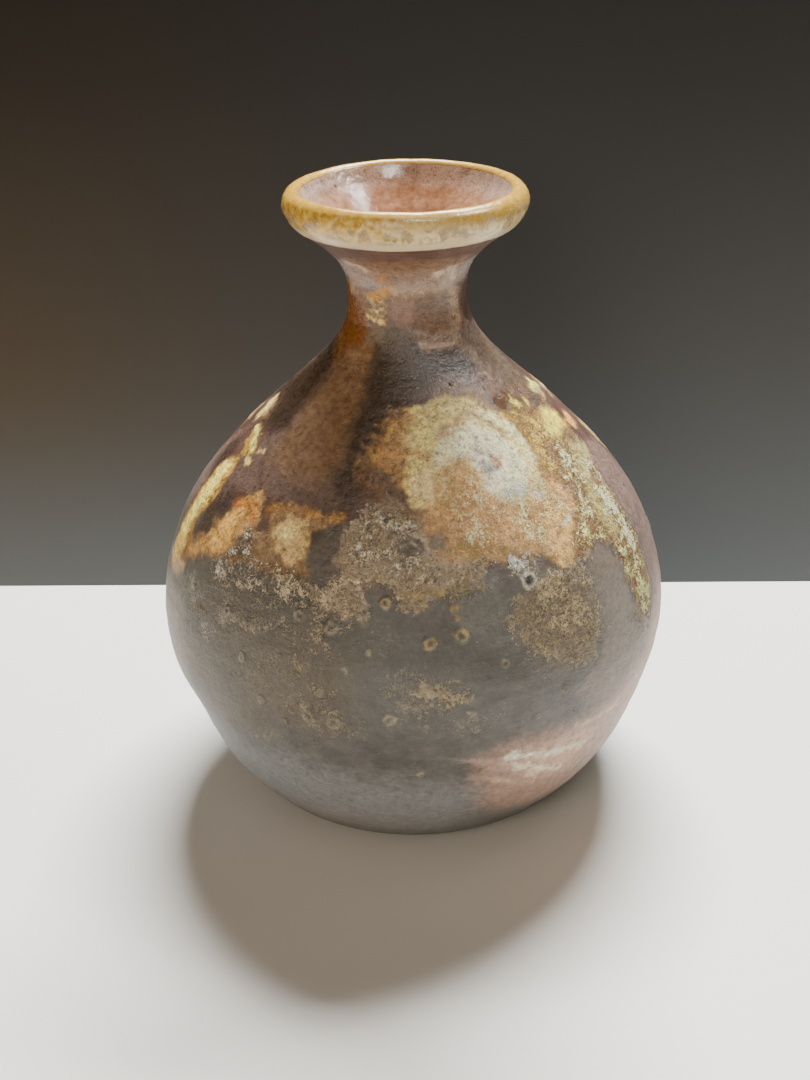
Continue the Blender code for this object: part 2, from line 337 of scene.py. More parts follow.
CREAM = [  # thick pale glass
    [(-2, 79), (-1, 83), (3, 84.3), (9, 84.6), (16, 85.2), (22, 85.6), (29, 85), (35, 83.6), (40, 81.2), (44, 78.5),
     (46, 75), (43, 73), (38, 71.5), (33, 70.8), (28, 71), (24, 72.5), (21, 75.5), (15, 76.5), (10, 76.5), (7, 73),
     (1, 73), (-2, 75.5)],
    (128, 73, 3.6, 3.2), (150, 79.5, 4.0, 2.0, -20),
]
BLUE = [(150, 79, 2.0, 1.2)]
CRUST = [  # half-melted grains
    RISE, BRAIN, CORAL,
    (-46, 63.6, 3.6, 2.6, -30), (-50, 60.6, 3.4, 1.6), (-40, 61.0, 4.2, 1.2), (-31, 60.6, 4.6, 1.3),
    (-22, 58.9, 3.6, 0.8, -14), (-52, 57.8, 2.4, 0.8, -20), (27, 62.0, 2.0, 1.2),
    (128, 66, 5.0, 4.5), (119, 56, 2.6, 4.6), (-151, 64.5, 5.0, 2.4), (172, 69, 3.0, 1.6),
]
GRAIN = [  # thin sanding of beige grains on bare clay
    NET, (60, 44.0, 3.4, 4.0),
    (3.5, 44.0, 4.6, 2.6), (7, 41.8, 2.6, 1.6),
    (-24, 46.5, 1.0, 4.6, -28), (-19, 44.0, 0.8, 3.0, -10), (-57, 49.0, 4.0, 1.8), (-23, 37.0, 3.4, 1.6),
    (-22, 53.5, 1.8, 1.2), (-36, 53.0, 2.4, 0.9),
    (100, 52, 7, 5), (-110, 50, 6, 4), (170, 52, 8, 5), (-140, 46, 6, 4),
]
PALE = [  # lighter, sandy mauve flashes on the shoulder
    (-42, 95.0, 4.2, 7.0, 8), (-46, 88.0, 7.0, 5.5, 12), (-38, 83.0, 6.6, 6.0, 6), (-52, 85.0, 5.0, 5.0),
    (-44, 77.0, 12.0, 6.0), (-62, 78.5, 6.0, 4.0), (-56, 72.5, 9.0, 3.4), (-30, 76.0, 6.0, 5.0),
    (75, 90.0, 10.0, 6.0), (60, 93.0, 5.0, 5.0), (52, 52.0, 5.0, 8.0), (80, 60.0, 6.0, 14.0),
    (-5, 100.0, 3.0, 3.0), (20, 96.5, 4.0, 1.8), (110, 90, 9, 6), (-110, 88, 8, 6), (-150, 88, 9, 5),
    (170, 90, 10, 5), (140, 60, 9, 8), (-90, 66, 5, 10),
]
DARK = [  # bare dark brown skin
    (-14, 90.5, 7.6, 7.0), (-24, 83.0, 4.6, 6.0, 10), (-26, 76.5, 3.4, 3.4), (0, 91.5, 5.6, 4.2),
    (12, 91.5, 5.0, 3.0), (-78, 88.0, 9.0, 8.0), (30, 91.0, 6.0, 3.2), (-72, 79.0, 6.0, 2.4),
    (-23, 65.0, 3.4, 3.8), (-22, 61.5, 2.0, 2.4), (-12, 75.3, 5.0, 1.2), (-65, 66.0, 4.0, 3.6, 30),
    (-86, 70.0, 3.6, 5.0), (0, 67.2, 3.4, 1.5), (-3, 65.6, 3.0, 1.2), (90, 88, 8, 4), (180, 82, 10, 6),
    (-95, 82, 6, 5), (-132, 84, 8, 4), (160, 64, 8, 5),
]
FLASH = [  # rose and salmon where the flame licked the lower wall
    (22, 22.5, 8.0, 7.0, -18), (32, 25.0, 9.0, 4.4, -14), (30, 17.0, 9.0, 5.0, -10), (40, 20.0, 7.0, 5.0),
    (55, 28.0, 10.0, 6.0, -20), (66, 36.0, 7.0, 8.0), (-20, 8.0, 12.0, 4.0), (120, 26, 14, 8), (-150, 22, 14, 7),
]
FLASH_LINES = [  # pale tongues in the flash
    (24, 24.6, 10.0, 0.9, -17), (30, 20.6, 8.0, 0.9, -20), (21, 19.6, 5.0, 0.7, -26), (36, 26.4, 6.0, 0.6, -12),
    (41, 16.5, 5.0, 0.6, -15),
]
AMBER = [(-62, 98.0, 6.4, 6.0), (-48, 100.5, 4.0, 4.0), (-70, 92.5, 5.0, 3.6), (-44, 94.0, 3.0, 3.6),
         (-14, 103.2, 3.0, 0.9), (40, 87.0, 7.0, 2.4), (30, 88.4, 7.0, 1.2), (60, 84.0, 5.0, 1.6), (-95, 100, 4, 3)]
MIST_AND_REFLECTION = [  # pale lilac bands round the throat; their pale sheen is a painted reflection of the lit table in front
    (0, 107.0, 14.0, 2.6), (-60, 107.5, 10.0, 2.6), (60, 107.5, 9.0, 2.6), (20, 96.4, 4.2, 1.0),
    (62, 94.5, 4.0, 2.2), (120, 106.5, 12, 2.5), (180, 107, 12, 2.5), (-120, 106.5, 12, 2.5),
]
WHITE = [(27, 62.0, 2.0, 1.3), (46, 61.2, 2.4, 1.6), (-52, 58.4, 1.6, 0.6, -20), (33, 71.5, 2.6, 1.6),
         (64, 62.5, 3.0, 7.0), (57, 71.5, 4.0, 4.0), (-46, 63.6, 2.2, 1.6)]

DUST = [  # broad veil of fine beige dust on the lower wall
    (-46, 52, 17, 9), (-30, 42, 14, 10), (-55, 40, 10, 9), (-20, 36, 12, 6), (2, 43, 9, 7), (33, 50, 12, 10),
    (-8, 52, 8, 5), (12, 36, 10, 4), (-36, 30, 10, 4), (60, 44, 5, 6), (110, 46, 14, 9), (-115, 46, 14, 9),
    (170, 46, 12, 9), (-150, 38, 12, 6)]
ARC = [  # amber threads that ring the pool
    (14, 85.3, 9.0, 0.5, -2), (27, 84.6, 6.0, 0.45, -12), (38, 81.8, 5.0, 0.45, -30), (45, 76.5, 5.0, 0.45, -62),
    (12, 82.6, 3.2, 0.35, 16), (17, 83.4, 3.0, 0.3, 4), (-2, 84.2, 4.0, 0.35, 12), (-6, 78.0, 4.6, 0.4, -35),
    (2, 79.0, 3.4, 0.3, 25), (33, 76.8, 1.6, 0.5, 40), (48, 70.0, 5.0, 0.5, -75)]

FIELDS = {"dust": (DUST, 6.0), "arc": (ARC, 0.9), "gold": (GOLD, 2.2), "cream": (CREAM, 2.6), "blue": (BLUE, 2.0), "crust": (CRUST, 2.4),
          "grain": (GRAIN, 2.6), "pale": (PALE, 4.0), "dark": (DARK, 4.0), "flash": (FLASH, 5.0),
          "line": (FLASH_LINES, 0.9), "amber": (AMBER, 3.2), "mist_reflection": (MIST_AND_REFLECTION, 2.4), "white": (WHITE, 1.6)}


def survey(th, z):
    """Signed reach of every deposit on a grid of the wall (columns th, rows z), in mm."""
    TH, Z = np.meshgrid(th, z)
    p = base_point(TH, Z)
    deg = np.degrees(th)
    w1 = fbm(p, 7.0, 4, 3, 0.55), fbm(p, 7.0, 4, 41, 0.55)
    w2 = fbm(p, 2.2, 3, 9, 0.6), fbm(p, 2.2, 3, 23, 0.6)
    out = {}
    for key, (items, _w) in FIELDS.items():
        k1, k2 = WARP.get(key, (1.7, 1.2))
        out[key] = ell(deg, z, (k1 * w1[0] + k2 * w2[0], k1 * w1[1] + k2 * w2[1]), items)
    return out, p, w1, w2


WARP = {"line": (0.4, 0.25), "blue": (1.2, 0.9), "mist_reflection": (0.8, 0.7), "flash": (2.6, 0.8),
        "pale": (2.6, 1.3), "dark": (2.2, 1.2), "dust": (3.0, 1.5), "arc": (0.7, 0.5)}


# colours of the fired skin, as they look in daylight (0..255), laid over one another from first to last
def wash(rgb, pts, a=0.85, soft=1.6, wob=1.0, half=None, vary=0.16, rough=None):
    return dict(rgb=rgb, pts=pts, a=a, soft=soft, wob=wob, half=half, vary=vary, rough=rough, cover=None)


def grit(rgb, pts, cover, a=0.9, soft=2.2, wob=1.0, half=None, tex=0, vary=0.22, rough=1.0):
    return dict(rgb=rgb, pts=pts, a=a, soft=soft, wob=wob, half=half, vary=vary, rough=rough, cover=cover, tex=tex)


def circle(t, z, r):
    out = []
    for k in range(13):
        w = TAU * k / 12
        zz = z + r * math.sin(w) * float(normal_rz(z)[0])
        out.append((t + math.degrees(r * math.cos(w) / float(outer_r(z))), zz))
    return out


CRATERS = [  # burst blisters: angle, height, radius, wall height, gold or not
    (3.2, 52.2, 0.85, 0.26, 1), (10.2, 53.0, 0.96, 0.3, 1), (-18.0, 54.0, 0.89, 0.2, 0), (19.0, 47.2, 0.59, 0.22, 0),
    (10.5, 42.0, 0.93, 0.22, 0), (-6.0, 58.6, 0.74, 0.24, 1), (-5.0, 38.4, 0.89, 0.14, 0), (-17.0, 36.6, 1.04, 0.2, 0),
    (-22.5, 37.2, 0.81, 0.18, 0), (14.0, 25.0, 0.74, 0.12, 0), (-28.5, 34.6, 0.52, 0.16, 0), (11.6, 38.6, 0.52, 0.16, 0),
    (-20.0, 42.2, 0.44, 0.16, 0), (-33.5, 38.0, 0.52, 0.14, 0), (-11.0, 57.0, 0.67, 0.2, 0), (-25.5, 55.2, 0.67, 0.18, 0),
    (-14.5, 47.0, 0.44, 0.12, 0), (2.0, 36.5, 0.44, 0.12, 0), (-39.0, 45.0, 0.59, 0.16, 0), (-45.0, 52.0, 0.59, 0.16, 0),
    (26.0, 35.0, 0.44, 0.12, 0), (0.5, 24.5, 0.59, 0.07, 0), (-9.5, 50.5, 0.37, 0.12, 0), (33.0, 39.0, 0.44, 0.12, 0),
    (122, 49, 0.81, 0.2, 0), (-128, 50, 0.89, 0.22, 0), (160, 44, 0.74, 0.18, 0), (-165, 52, 0.67, 0.2, 0)]
BEADS = [  # round drops of glass: angle, height, radius, height
    (0.2, 59.4, 0.9, 0.34), (3.2, 60.2, 0.8, 0.3), (6.2, 60.0, 0.9, 0.34), (9.2, 57.4, 1.0, 0.34), (9.6, 56.0, 0.6, 0.26),
    (-42.5, 80.0, 0.35, 0.2), (-63.0, 80.4, 0.5, 0.2), (13.5, 61.0, 0.7, 0.3), (-29.0, 47.8, 0.4, 0.2), (24.0, 88.4, 0.4, 0.2),
    (-60.0, 43.0, 0.4, 0.2), (36.0, 33.0, 0.35, 0.16), (-8.0, 44.5, 0.3, 0.16), (-54.0, 70.9, 0.45, 0.2)]

PAINT = [
    # shoulder and throat skin
    wash((112, 94, 84), [(-60, 80), (-20, 80), (-18, 72), (-26, 70), (-46, 71), (-58, 70), (-68, 66), (-70, 74)], 0.75, 2.5),
    wash((134, 106, 80), [(-38, 94.5), (-30, 91), (-27, 85), (-26, 78), (-30, 74), (-44, 74), (-56, 75), (-62, 84), (-60, 92), (-50, 94)], 0.9, 2.6, vary=0.22),
    wash((78, 64, 51), [(-30, 97), (-27, 88), (-26, 80), (-25, 74), (-20, 71), (-16, 75), (-21, 80), (-16, 84), (-8, 86.5), (0, 87), (10, 88), (20, 89), (34, 89), (48, 90.5), (40, 94), (20, 93.5), (0, 97), (-14, 98)], 0.92, 1.8),
    wash((70, 56, 42), [(-98, 94), (-72, 92.5), (-63, 88), (-61, 80), (-66, 77.5), (-80, 78.5), (-94, 84)], 0.9, 2.4),
    wash((128, 80, 38), [(-100, 103), (-92, 96), (-75, 94), (-62, 92.6), (-48, 93.5), (-41, 96), (-45, 100), (-50, 102.6), (-70, 104)], 0.9, 1.8),
    wash((146, 118, 90), [(-56, 91.6), (-48, 92.4), (-36, 92.6)], 0.6, 0.9, half=0.6),
    wash((150, 124, 98), [(-52, 86.3), (-45, 85.6), (-38, 87)], 0.5, 0.8, half=0.4),
    wash((146, 120, 96), [(-50, 84.2), (-42, 83.6)], 0.5, 0.7, half=0.4),
    wash((140, 120, 104), [(-60, 81), (-50, 80.4)], 0.4, 0.8, half=0.5),
    wash((114, 99, 84), [(44, 95), (52, 86.5), (62, 84.2), (75, 83.2), (90, 84), (96, 92), (80, 96), (60, 97)], 0.8, 2.6, vary=0.2),
    wash((112, 88, 76), [(14, 89.6), (24, 90.4), (36, 89.4), (50, 89), (56, 86.4), (44, 86), (34, 88)], 0.75, 1.0),
    wash((150, 128, 112), [(24, 89.4), (33, 88.4)], 0.5, 0.5, half=0.3),
    wash((160, 140, 120), [(47, 88.4), (53, 88.2), (56, 87.8)], 0.6, 0.5, half=0.35),
    wash((150, 128, 110), [(43, 86.6), (52, 87.4)], 0.4, 0.5, half=0.3),
    wash((116, 91, 68), [(8, 103), (30, 103.2), (47, 102.6), (50, 97.5), (40, 96), (12, 96.2)], 0.9, 1.4),
    wash((132, 104, 88), [(-18, 103), (8, 103), (8, 98.5), (-4, 97), (-18, 98)], 0.8, 1.4),
    wash((124, 110, 92), [(-42, 98.4), (-24, 98.4), (-14, 97), (-22, 95), (-40, 95.2)], 0.75, 1.2),
    wash((82, 66, 52), [(-20, 98), (-4, 97.4), (8, 96), (16, 93), (0, 92), (-20, 93)], 0.7, 1.6),
    # painted reflection: the pale line across the throat at about 95 mm and its turn down near 50 degrees
    wash((170, 150, 128), [(10, 95.0), (20, 94.6), (30, 94.4), (40, 94.6)], 0.75, 0.6, half=0.5),
    wash((150, 132, 112), [(42, 96), (47, 93), (52, 91)], 0.6, 1.0, half=1.0),
    # painted reflection: the pale band round the throat at 104 to 108 mm
    wash((158, 131, 105), [(-64, 103.4), (-52, 106.4), (-38, 107.6), (-20, 106.2), (-8, 104.7), (6, 104.3), (24, 104.6), (38, 105.0), (47, 103.4), (51.5, 101), (52.5, 97.5)], 0.8, 1.1, half=1.15, vary=0.24),
    wash((134, 104, 80), [(-60, 105), (-46, 110.8), (-20, 111.3), (20, 111.3), (46, 110.6), (52, 104), (40, 105.8), (0, 105.8), (-24, 106)], 0.75, 1.2, vary=0.2),
    # painted reflection: brighter streaks in the throat band
    wash((186, 164, 140), [(24, 107.5), (32, 108.6), (38, 108.4), (42, 106.6)], 0.6, 0.9, half=0.9),
    wash((186, 160, 132), [(-50, 109.6), (-40, 109.2), (-33, 108.4)], 0.6, 0.8, half=0.7),
    wash((174, 126, 62), [(-42, 103.4), (-32, 104.4), (-22, 104.9), (-14, 104.9), (-20, 102.8), (-30, 102.2), (-42, 101.9)], 0.92, 0.6),
    wash((170, 112, 64), [(-26, 106), (-20, 108.6), (-16, 106)], 0.6, 0.9),
    wash((206, 170, 108), [(-42, 99.4), (-34, 98.8), (-25, 98.7)], 0.85, 0.35, half=0.28, wob=0.4),
    wash((200, 168, 112), [(-36, 100.6), (-30, 100.4), (-24, 100.8)], 0.8, 0.35, half=0.24, wob=0.4),
    wash((150, 112, 90), [(-6, 99.6), (2, 99.3)], 0.6, 0.6, half=0.6),
    # lower wall skin
    wash((101, 92, 76), [(-76, 60), (-50, 60), (-20, 61), (-11, 52), (-13, 36), (-40, 30), (-70, 34), (-84, 46)], 0.75, 5.0),
    wash((86, 82, 74), [(-22, 56), (0, 57.4), (9, 56.4), (14, 51), (24, 47), (24, 42), (10, 46.6), (-5, 48.4), (-18, 49.4)], 0.7, 2.6),
    wash((112, 110, 102), [(9, 59.6), (14, 62), (20, 61.6), (21, 57), (19, 52.6), (12, 52.4), (9.5, 55)], 0.85, 1.4, vary=0.08),
    wash((134, 123, 111), [(46.5, 59.3), (50, 60.4), (54, 59.6), (57, 56), (57.5, 50), (60, 45), (64, 41), (70, 38), (66, 32), (40, 33), (36, 38), (44, 42), (46, 50)], 0.85, 1.4, vary=0.10),
    wash((134, 112, 102), [(71, 69), (76, 72.6), (90, 71), (94, 60), (90, 46), (80, 40), (70, 44), (70.5, 58)], 0.85, 1.4),
    wash((150, 141, 126), [(-86, 50), (-66, 50), (-60, 40), (-64, 28), (-80, 30), (-92, 42)], 0.6, 5.0),
    wash((100, 92, 82), [(-28, 63.5), (-24, 68.6), (-19, 69), (-17.5, 64), (-21, 60.5), (-26, 60.4)], 0.9, 1.0, vary=0.08),
    wash((84, 68, 52), [(-68.5, 58.6), (-70, 63), (-67, 66.5), (-63.5, 65), (-61, 62), (-64, 60.2)], 0.85, 1.0),
    wash((124, 114, 92), [(22, 58), (30, 60), (45, 60), (46, 56), (45, 48), (42, 42), (34, 42), (27, 46), (22, 52)], 0.6, 1.6),
    # painted light: a paler blue-grey band round the foot, standing in for the haze of light there
    wash((137, 139, 138), [(-70, 24), (-30, 25), (0, 22), (16, 20), (14, 4), (-80, 4)], 0.75, 6.0, vary=0.06),
    # rose flash of the flame on its left; its paler right part, from about 45 degrees on, is painted haze of reflected
    # light
    wash((168, 141, 124), [(13, 28), (22, 30), (36, 29.4), (50, 30), (62, 36), (78, 48), (84, 40), (70, 16), (50, 8), (30, 8), (16, 13)], 0.75, 4.0),
    wash((190, 158, 136), [(22, 26), (34, 27), (46, 24), (40, 18), (28, 18)], 0.75, 3.0),
    wash((218, 196, 174), [(20, 26.8), (28, 25.4), (36, 23.4), (42, 22.2)], 0.8, 0.9, half=0.6),
    wash((214, 192, 168), [(22, 23.6), (29, 20.8), (35, 18.6)], 0.8, 0.9, half=0.6),
    wash((206, 182, 158), [(25, 21.0), (30, 17.8)], 0.7, 0.8, half=0.4),
    wash((200, 170, 146), [(16, 21.4), (22, 19.2)], 0.6, 0.8, half=0.4),
    wash((202, 178, 152), [(38, 28.4), (52, 27.6)], 0.5, 0.9, half=0.4),
    # fine beige dust and drifts of grains
    grit((150, 136, 108), [(-78, 56), (-50, 58.6), (-20, 57.6), (-12, 53), (-14, 40), (-14, 32), (-40, 28), (-62, 33), (-80, 42)], 0.16, 0.65, 5.0, tex=1, rough=None),
    grit((148, 136, 112), [(-12, 50), (0, 50), (14, 48), (30, 44), (34, 34), (10, 30), (-12, 32)], 0.08, 0.6, 5.0, tex=1, rough=None),
    grit((176, 160, 128), [(-54, 58.4), (-26, 57.6), (-12, 55), (-20, 50), (-36, 52), (-54, 53)], 0.18, 0.8, 3.0, tex=1, rough=0.5),
    grit((150, 136, 108), [(-2, 48.6), (3, 46.5), (10, 47.4), (15, 45), (12, 42.4), (7, 40.2), (0, 41.4), (-4, 45)], 0.26, 0.75, 2.8, 1.8, rough=0.5),
    grit((160, 142, 110), [(-31, 46.2), (-27, 45.4), (-24.5, 49), (-20.5, 52.2), (-20, 55)], 0.46, 0.8, 1.4, half=1.0, rough=0.5),
    grit((146, 132, 106), [(-34, 44.2), (-27, 44.6), (-20, 47)], 0.40, 0.7, 1.4, half=0.7, rough=0.6),
    grit((150, 138, 110), [(-22, 43), (-19, 41.4), (-16, 43)], 0.6, 0.7, 0.9, half=0.6, rough=0.6),
    grit((152, 138, 112), [(-26, 38.8), (-22, 38.6), (-17, 38.2), (-15, 36)], 0.40, 0.7, 1.6, half=1.2, rough=0.6),
    grit((150, 138, 112), [(-47, 50), (-40, 52), (-34, 51.4), (-30, 53)], 0.6, 0.7, 1.2, half=1.1, rough=0.6),
    grit((158, 144, 116), [(-62, 52.6), (-56, 48), (-50, 46.4)], 0.42, 0.75, 1.4, half=1.6, rough=0.6),
    grit((170, 150, 114), NET, 0.34, 0.85, 1.6, rough=0.8),
    grit((186, 168, 130), [(29, 59.4), (38, 60), (45.5, 59), (45.5, 51), (40, 49), (30, 51)], 0.34, 0.85, 1.8, rough=0.9),
    # the front pool, from its ragged rim inwards
    wash((132, 101, 62), POOL, 0.95, 0.75, 1.7, vary=0.32),
    wash((104, 72, 42), [(-18, 78.4), (-12, 76.6), (-4, 75.6), (0, 73.6), (-2, 71), (-12, 72.6), (-20, 75)], 0.75, 1.2, 1.4),
    wash((172, 134, 80), [(-17, 79), (-12, 83), (-4, 84.6), (3, 85.6), (12, 86.6), (22, 87.2), (30, 86.8), (38, 85), (44, 82.4), (48, 78), (46, 70), (30, 70), (10, 73), (0, 73), (-8, 76.6)], 0.75, 1.0, 1.4, vary=0.26),
    wash((226, 182, 120), [(-1, 75), (-3, 80), (-2, 83.4), (3, 84.9), (10, 85.5), (18, 86.2), (26, 86), (33, 85), (39, 82.8), (43.5, 80), (46.5, 76), (44, 72), (38, 70.8), (30, 70.4), (22, 73.5), (14, 74), (6, 72.4), (0, 72.6)], 0.9, 1.0, 1.0),
    wash((178, 130, 76), [(-12, 79.6), (-6, 78.8), (0, 79.8), (5, 78.8)], 0.7, 1.0, half=0.9, wob=1.4),
    wash((160, 108, 60), [(-12, 78.2), (-8, 76.8), (-4, 77.2)], 0.6, 0.8, half=0.6, wob=1.4),
    wash((226, 186, 124), [(1, 80.4), (1, 83), (5, 84), (12, 83.6), (17, 82), (12, 80.8), (6, 79.4)], 0.8, 0.9, 0.8),
    wash((222, 200, 156), [(7, 79), (12, 81.6), (20, 82.6), (28, 82.4), (35, 81), (40, 78.6), (42, 75.6), (38, 73), (32, 71.4), (27, 71.6), (23.5, 74), (21, 77.4), (14, 78), (9, 77.4)], 0.85, 0.9, 0.9),
    wash((200, 178, 130), [(0.5, 73.4), (0.8, 75.8), (5, 76.6), (8, 75), (7, 73.2)], 0.85, 0.8, 0.9),
    wash((202, 184, 142), [(7, 77), (9, 79.4), (13, 79.6), (14.5, 77.8), (11, 76.6)], 0.8, 0.7, 0.9),
    wash((200, 192, 160), [(20.5, 79.6), (24, 81.2), (30, 80.6), (34, 78.4), (33, 75.4), (30, 72.8), (25.5, 72.8), (23, 75), (21.5, 77.4)], 0.85, 0.9, 0.9),
    wash((158, 156, 148), [(22, 78.6), (26, 79.4), (30, 78.4), (30, 76), (26, 74.6), (23.6, 76)], 0.75, 0.8, 0.9),
    wash((196, 190, 160), [(24, 77.8), (27, 78.4), (28, 77)], 0.7, 0.5, half=0.45),
    wash((122, 112, 100), [(25, 76.4), (28, 75.9), (30, 76.2)], 0.6, 0.5, half=0.35),
    wash((150, 106, 56), [(12, 81.4), (16, 82.8), (18.5, 82.6), (24, 84.2), (30, 83.8), (36, 82), (40.5, 79.8)], 0.75, 0.5, 0.9, half=0.5),
    wash((176, 120, 70), [(9, 81), (12, 80.6), (15, 81.6), (17, 81.6)], 0.75, 0.5, 0.9, half=0.35),
    wash((214, 186, 118), [(0, 85), (8, 85.9), (18, 86.6), (26, 86.4), (33, 85.2), (38.5, 83.4), (43, 81.4)], 0.8, 0.6, 0.8, half=0.55),
    wash((236, 210, 138), [(36, 84.4), (42, 82.4), (47, 80.6), (48, 77), (47, 74.6), (44.6, 75.4), (43.6, 78.6), (41, 81), (37, 82.8)], 0.85, 0.7, 0.7),
    wash((214, 160, 74), [(44, 82.4), (49, 80.8), (50, 76), (48.6, 72)], 0.7, 0.7, 0.9, half=0.5),
    wash((178, 124, 76), [(29.6, 77.6), (31, 76.4), (33.4, 77.4)], 0.85, 0.5, 0.6, half=0.55),
    wash((222, 208, 160), [(30, 74), (35, 74.6), (40, 74), (38, 72), (32, 71.8)], 0.65, 0.9),
    wash((214, 150, 96), [(38.4, 72.4), (40, 73.2), (42.6, 72.6)], 0.8, 0.4, 0.5, half=0.25),
    wash((190, 140, 92), [(3.6, 72.2), (6, 72.0), (8.6, 72.2)], 0.85, 0.45, 0.5, half=0.35),
    # speckled shoulder to the right of the pool
    wash((168, 128, 66), [(48, 82), (60, 82.4), (70, 80.4), (80, 79), (80, 76.4), (70, 75.6), (56, 76), (50, 70), (47, 72)], 0.85, 0.9, vary=0.34),
    grit((212, 176, 96), [(48, 82), (60, 82.2), (70, 80.4), (72, 76), (56, 76), (52, 70), (47, 72), (48, 78)], 0.45, 0.85, 1.4, tex=0),
    grit((116, 82, 50), [(44, 85), (54, 85), (66, 83.6), (80, 82), (82, 79.6), (68, 81.4), (54, 82), (46, 82.6)], 0.5, 0.85, 1.4),
    wash((218, 184, 96), [(54, 83.6), (57, 84.3), (60, 83.4), (60, 82.6), (56, 82.6)], 0.9, 0.45, 0.8),
    wash((214, 176, 86), [(63.6, 82.9), (67, 83.3), (67.6, 82.3), (65, 81.8)], 0.9, 0.45, 0.8),
    wash((96, 70, 52), [(60, 81.2), (68, 81), (74, 81.2)], 0.7, 0.6, half=0.5),
    wash((220, 182, 84), [(64, 79), (70, 80), (76, 79.6), (80, 78), (76, 76.6), (68, 76), (63, 77)], 0.9, 0.9, vary=0.2),
    wash((214, 190, 110), [(82, 82.6), (90, 83.2), (94, 82)], 0.85, 0.5, half=0.7),
    wash((214, 156, 92), [(84, 75.6), (90, 75.8)], 0.85, 0.7, half=1.2),
    # granular ash climbing into the pool
    wash((200, 156, 98), RISE, 0.90, 1.3, 1.6, vary=0.34, rough=0.7),
    grit((236, 204, 146), [(10, 77), (16, 78.4), (20, 76.8), (22, 74), (24, 71.6), (28, 70), (24, 66), (16, 66), (8, 68), (6, 72.6)], 0.40, 0.9, 2.0),
    grit((172, 122, 74), RISE, 0.12, 0.85, 1.4, tex=1),
    grit((238, 204, 140), [(28, 72.4), (36, 73.4), (46, 74), (48, 68), (40, 64), (30, 66)], 0.38, 0.9, 2.0),
    grit((146, 126, 74), [(2, 69), (10, 68), (24, 66), (36, 64), (34, 62), (20, 62), (8, 61), (2, 63)], 0.34, 0.85, 1.8),
    grit((242, 222, 180), [(29, 73), (33, 73.8), (37, 72), (34, 70.4), (30, 70.8)], 0.5, 0.9, 1.0),
    wash((206, 166, 100), [(36.6, 66), (40, 68), (44, 66.6), (46, 63), (42, 60.4), (38.6, 60.2), (37, 62.6)], 0.75, 0.9, 1.2, rough=0.4),
    wash((214, 164, 92), [(43, 68), (45, 66), (47, 64.6)], 0.7, 0.7, half=0.6),
    wash((190, 204, 196), [(38.6, 71.6), (40.4, 70.8), (42, 71)], 0.6, 0.6, half=0.5),
    wash((186, 200, 186), [(44, 66.6), (47, 66.2)], 0.6, 0.5, half=0.4),
    # dark granular brain-like field
    wash((162, 144, 118), BRAIN, 0.85, 1.4, 1.6, vary=0.24, rough=0.9),
    grit((188, 168, 136), BRAIN, 0.30, 0.9, 2.0),
    grit((226, 204, 168), [(-16, 68), (-10, 71), (-2, 71.6), (4, 69), (4, 65), (-2, 63), (-10, 64), (-16, 65.4)], 0.20, 0.9, 1.6),
    grit((84, 70, 54), BRAIN, 0.12, 0.8, 1.6, tex=1),
    wash((100, 92, 76), [(4.6, 68.2), (8, 68.8), (9.4, 67.4), (7.6, 65.8), (4.8, 66.2)], 0.9, 0.8, 0.6, vary=0.06, rough=0.0),
    wash((58, 50, 42), [(-3.4, 67.6), (0, 68.2), (3, 67.2), (2.4, 65.8), (-1, 65.4), (-4, 66.2)], 0.75, 0.7, 0.8),
    wash((176, 164, 144), [(-4.4, 67.8), (-1, 68.9), (3.4, 67.8), (4.2, 66)], 0.8, 0.35, 0.5, half=0.25),
    wash((168, 156, 136), [(-3.4, 66.8), (-0.6, 67.4), (1.6, 66.6)], 0.7, 0.3, 0.5, half=0.2),
    grit((158, 140, 90), [(-10, 62.4), (-4, 61), (4, 61.6), (16, 63), (16, 59.4), (8, 58.6), (0, 57.4), (-6, 58.8)], 0.34, 0.85, 1.6),
    wash((140, 124, 84), [(-2, 59.6), (1, 60.6), (6, 61.2), (14, 61.4), (13, 60), (6, 58.8), (1, 58)], 0.45, 1.2),
    grit((178, 158, 128), [(-24, 59), (-17, 62.6), (-13, 62), (-10, 58), (-13, 55.6), (-18, 56.4)], 0.34, 0.85, 2.2),
    # white burst beside the pin hole
    wash((150, 134, 114), [(24, 63.8), (30, 63.8), (31, 61), (28.6, 60.4), (25, 61), (23.4, 62.2)], 0.75, 0.9),
    grit((236, 212, 172), [(24, 63.8), (30, 63.6), (30, 61), (27.6, 60.4), (25, 61), (23.6, 62.2)], 0.50, 0.9, 1.2),
    # coral-like run on the right
    wash((150, 112, 62), CORAL, 0.88, 1.1, 1.2, vary=0.26, rough=1.0),
    grit((234, 196, 126), CORAL, 0.46, 0.95, 1.8),
    grit((240, 216, 160), [(58, 75), (74, 74), (73, 70), (69, 67), (68, 58), (63, 52), (60, 58), (62, 66), (57, 71)], 0.34, 0.9, 1.8),
    grit((150, 124, 120), [(54, 70), (58, 70), (58, 66), (54, 66)], 0.35, 0.7, 1.4, tex=1),
    wash((222, 190, 120), [(60, 61), (60, 66), (64, 70), (70, 73.4), (75, 72)], 0.45, 1.4, half=1.4),
    # left star
    wash((138, 104, 66), STAR, 0.92, 0.75, 1.3, vary=0.28),
    wash((186, 142, 82), [(-61, 60.4), (-58, 65), (-54, 69), (-50.6, 70.2), (-47, 68), (-46, 65.6), (-49, 62.6), (-53, 60), (-60, 58.4), (-67, 56), (-69, 56.4), (-66, 58.6)], 0.88, 0.8, 0.9, vary=0.24),
    wash((206, 162, 92), [(-59, 63), (-56.4, 66), (-53, 66), (-52, 62), (-56, 60.6), (-60, 60.6)], 0.7, 1.0),
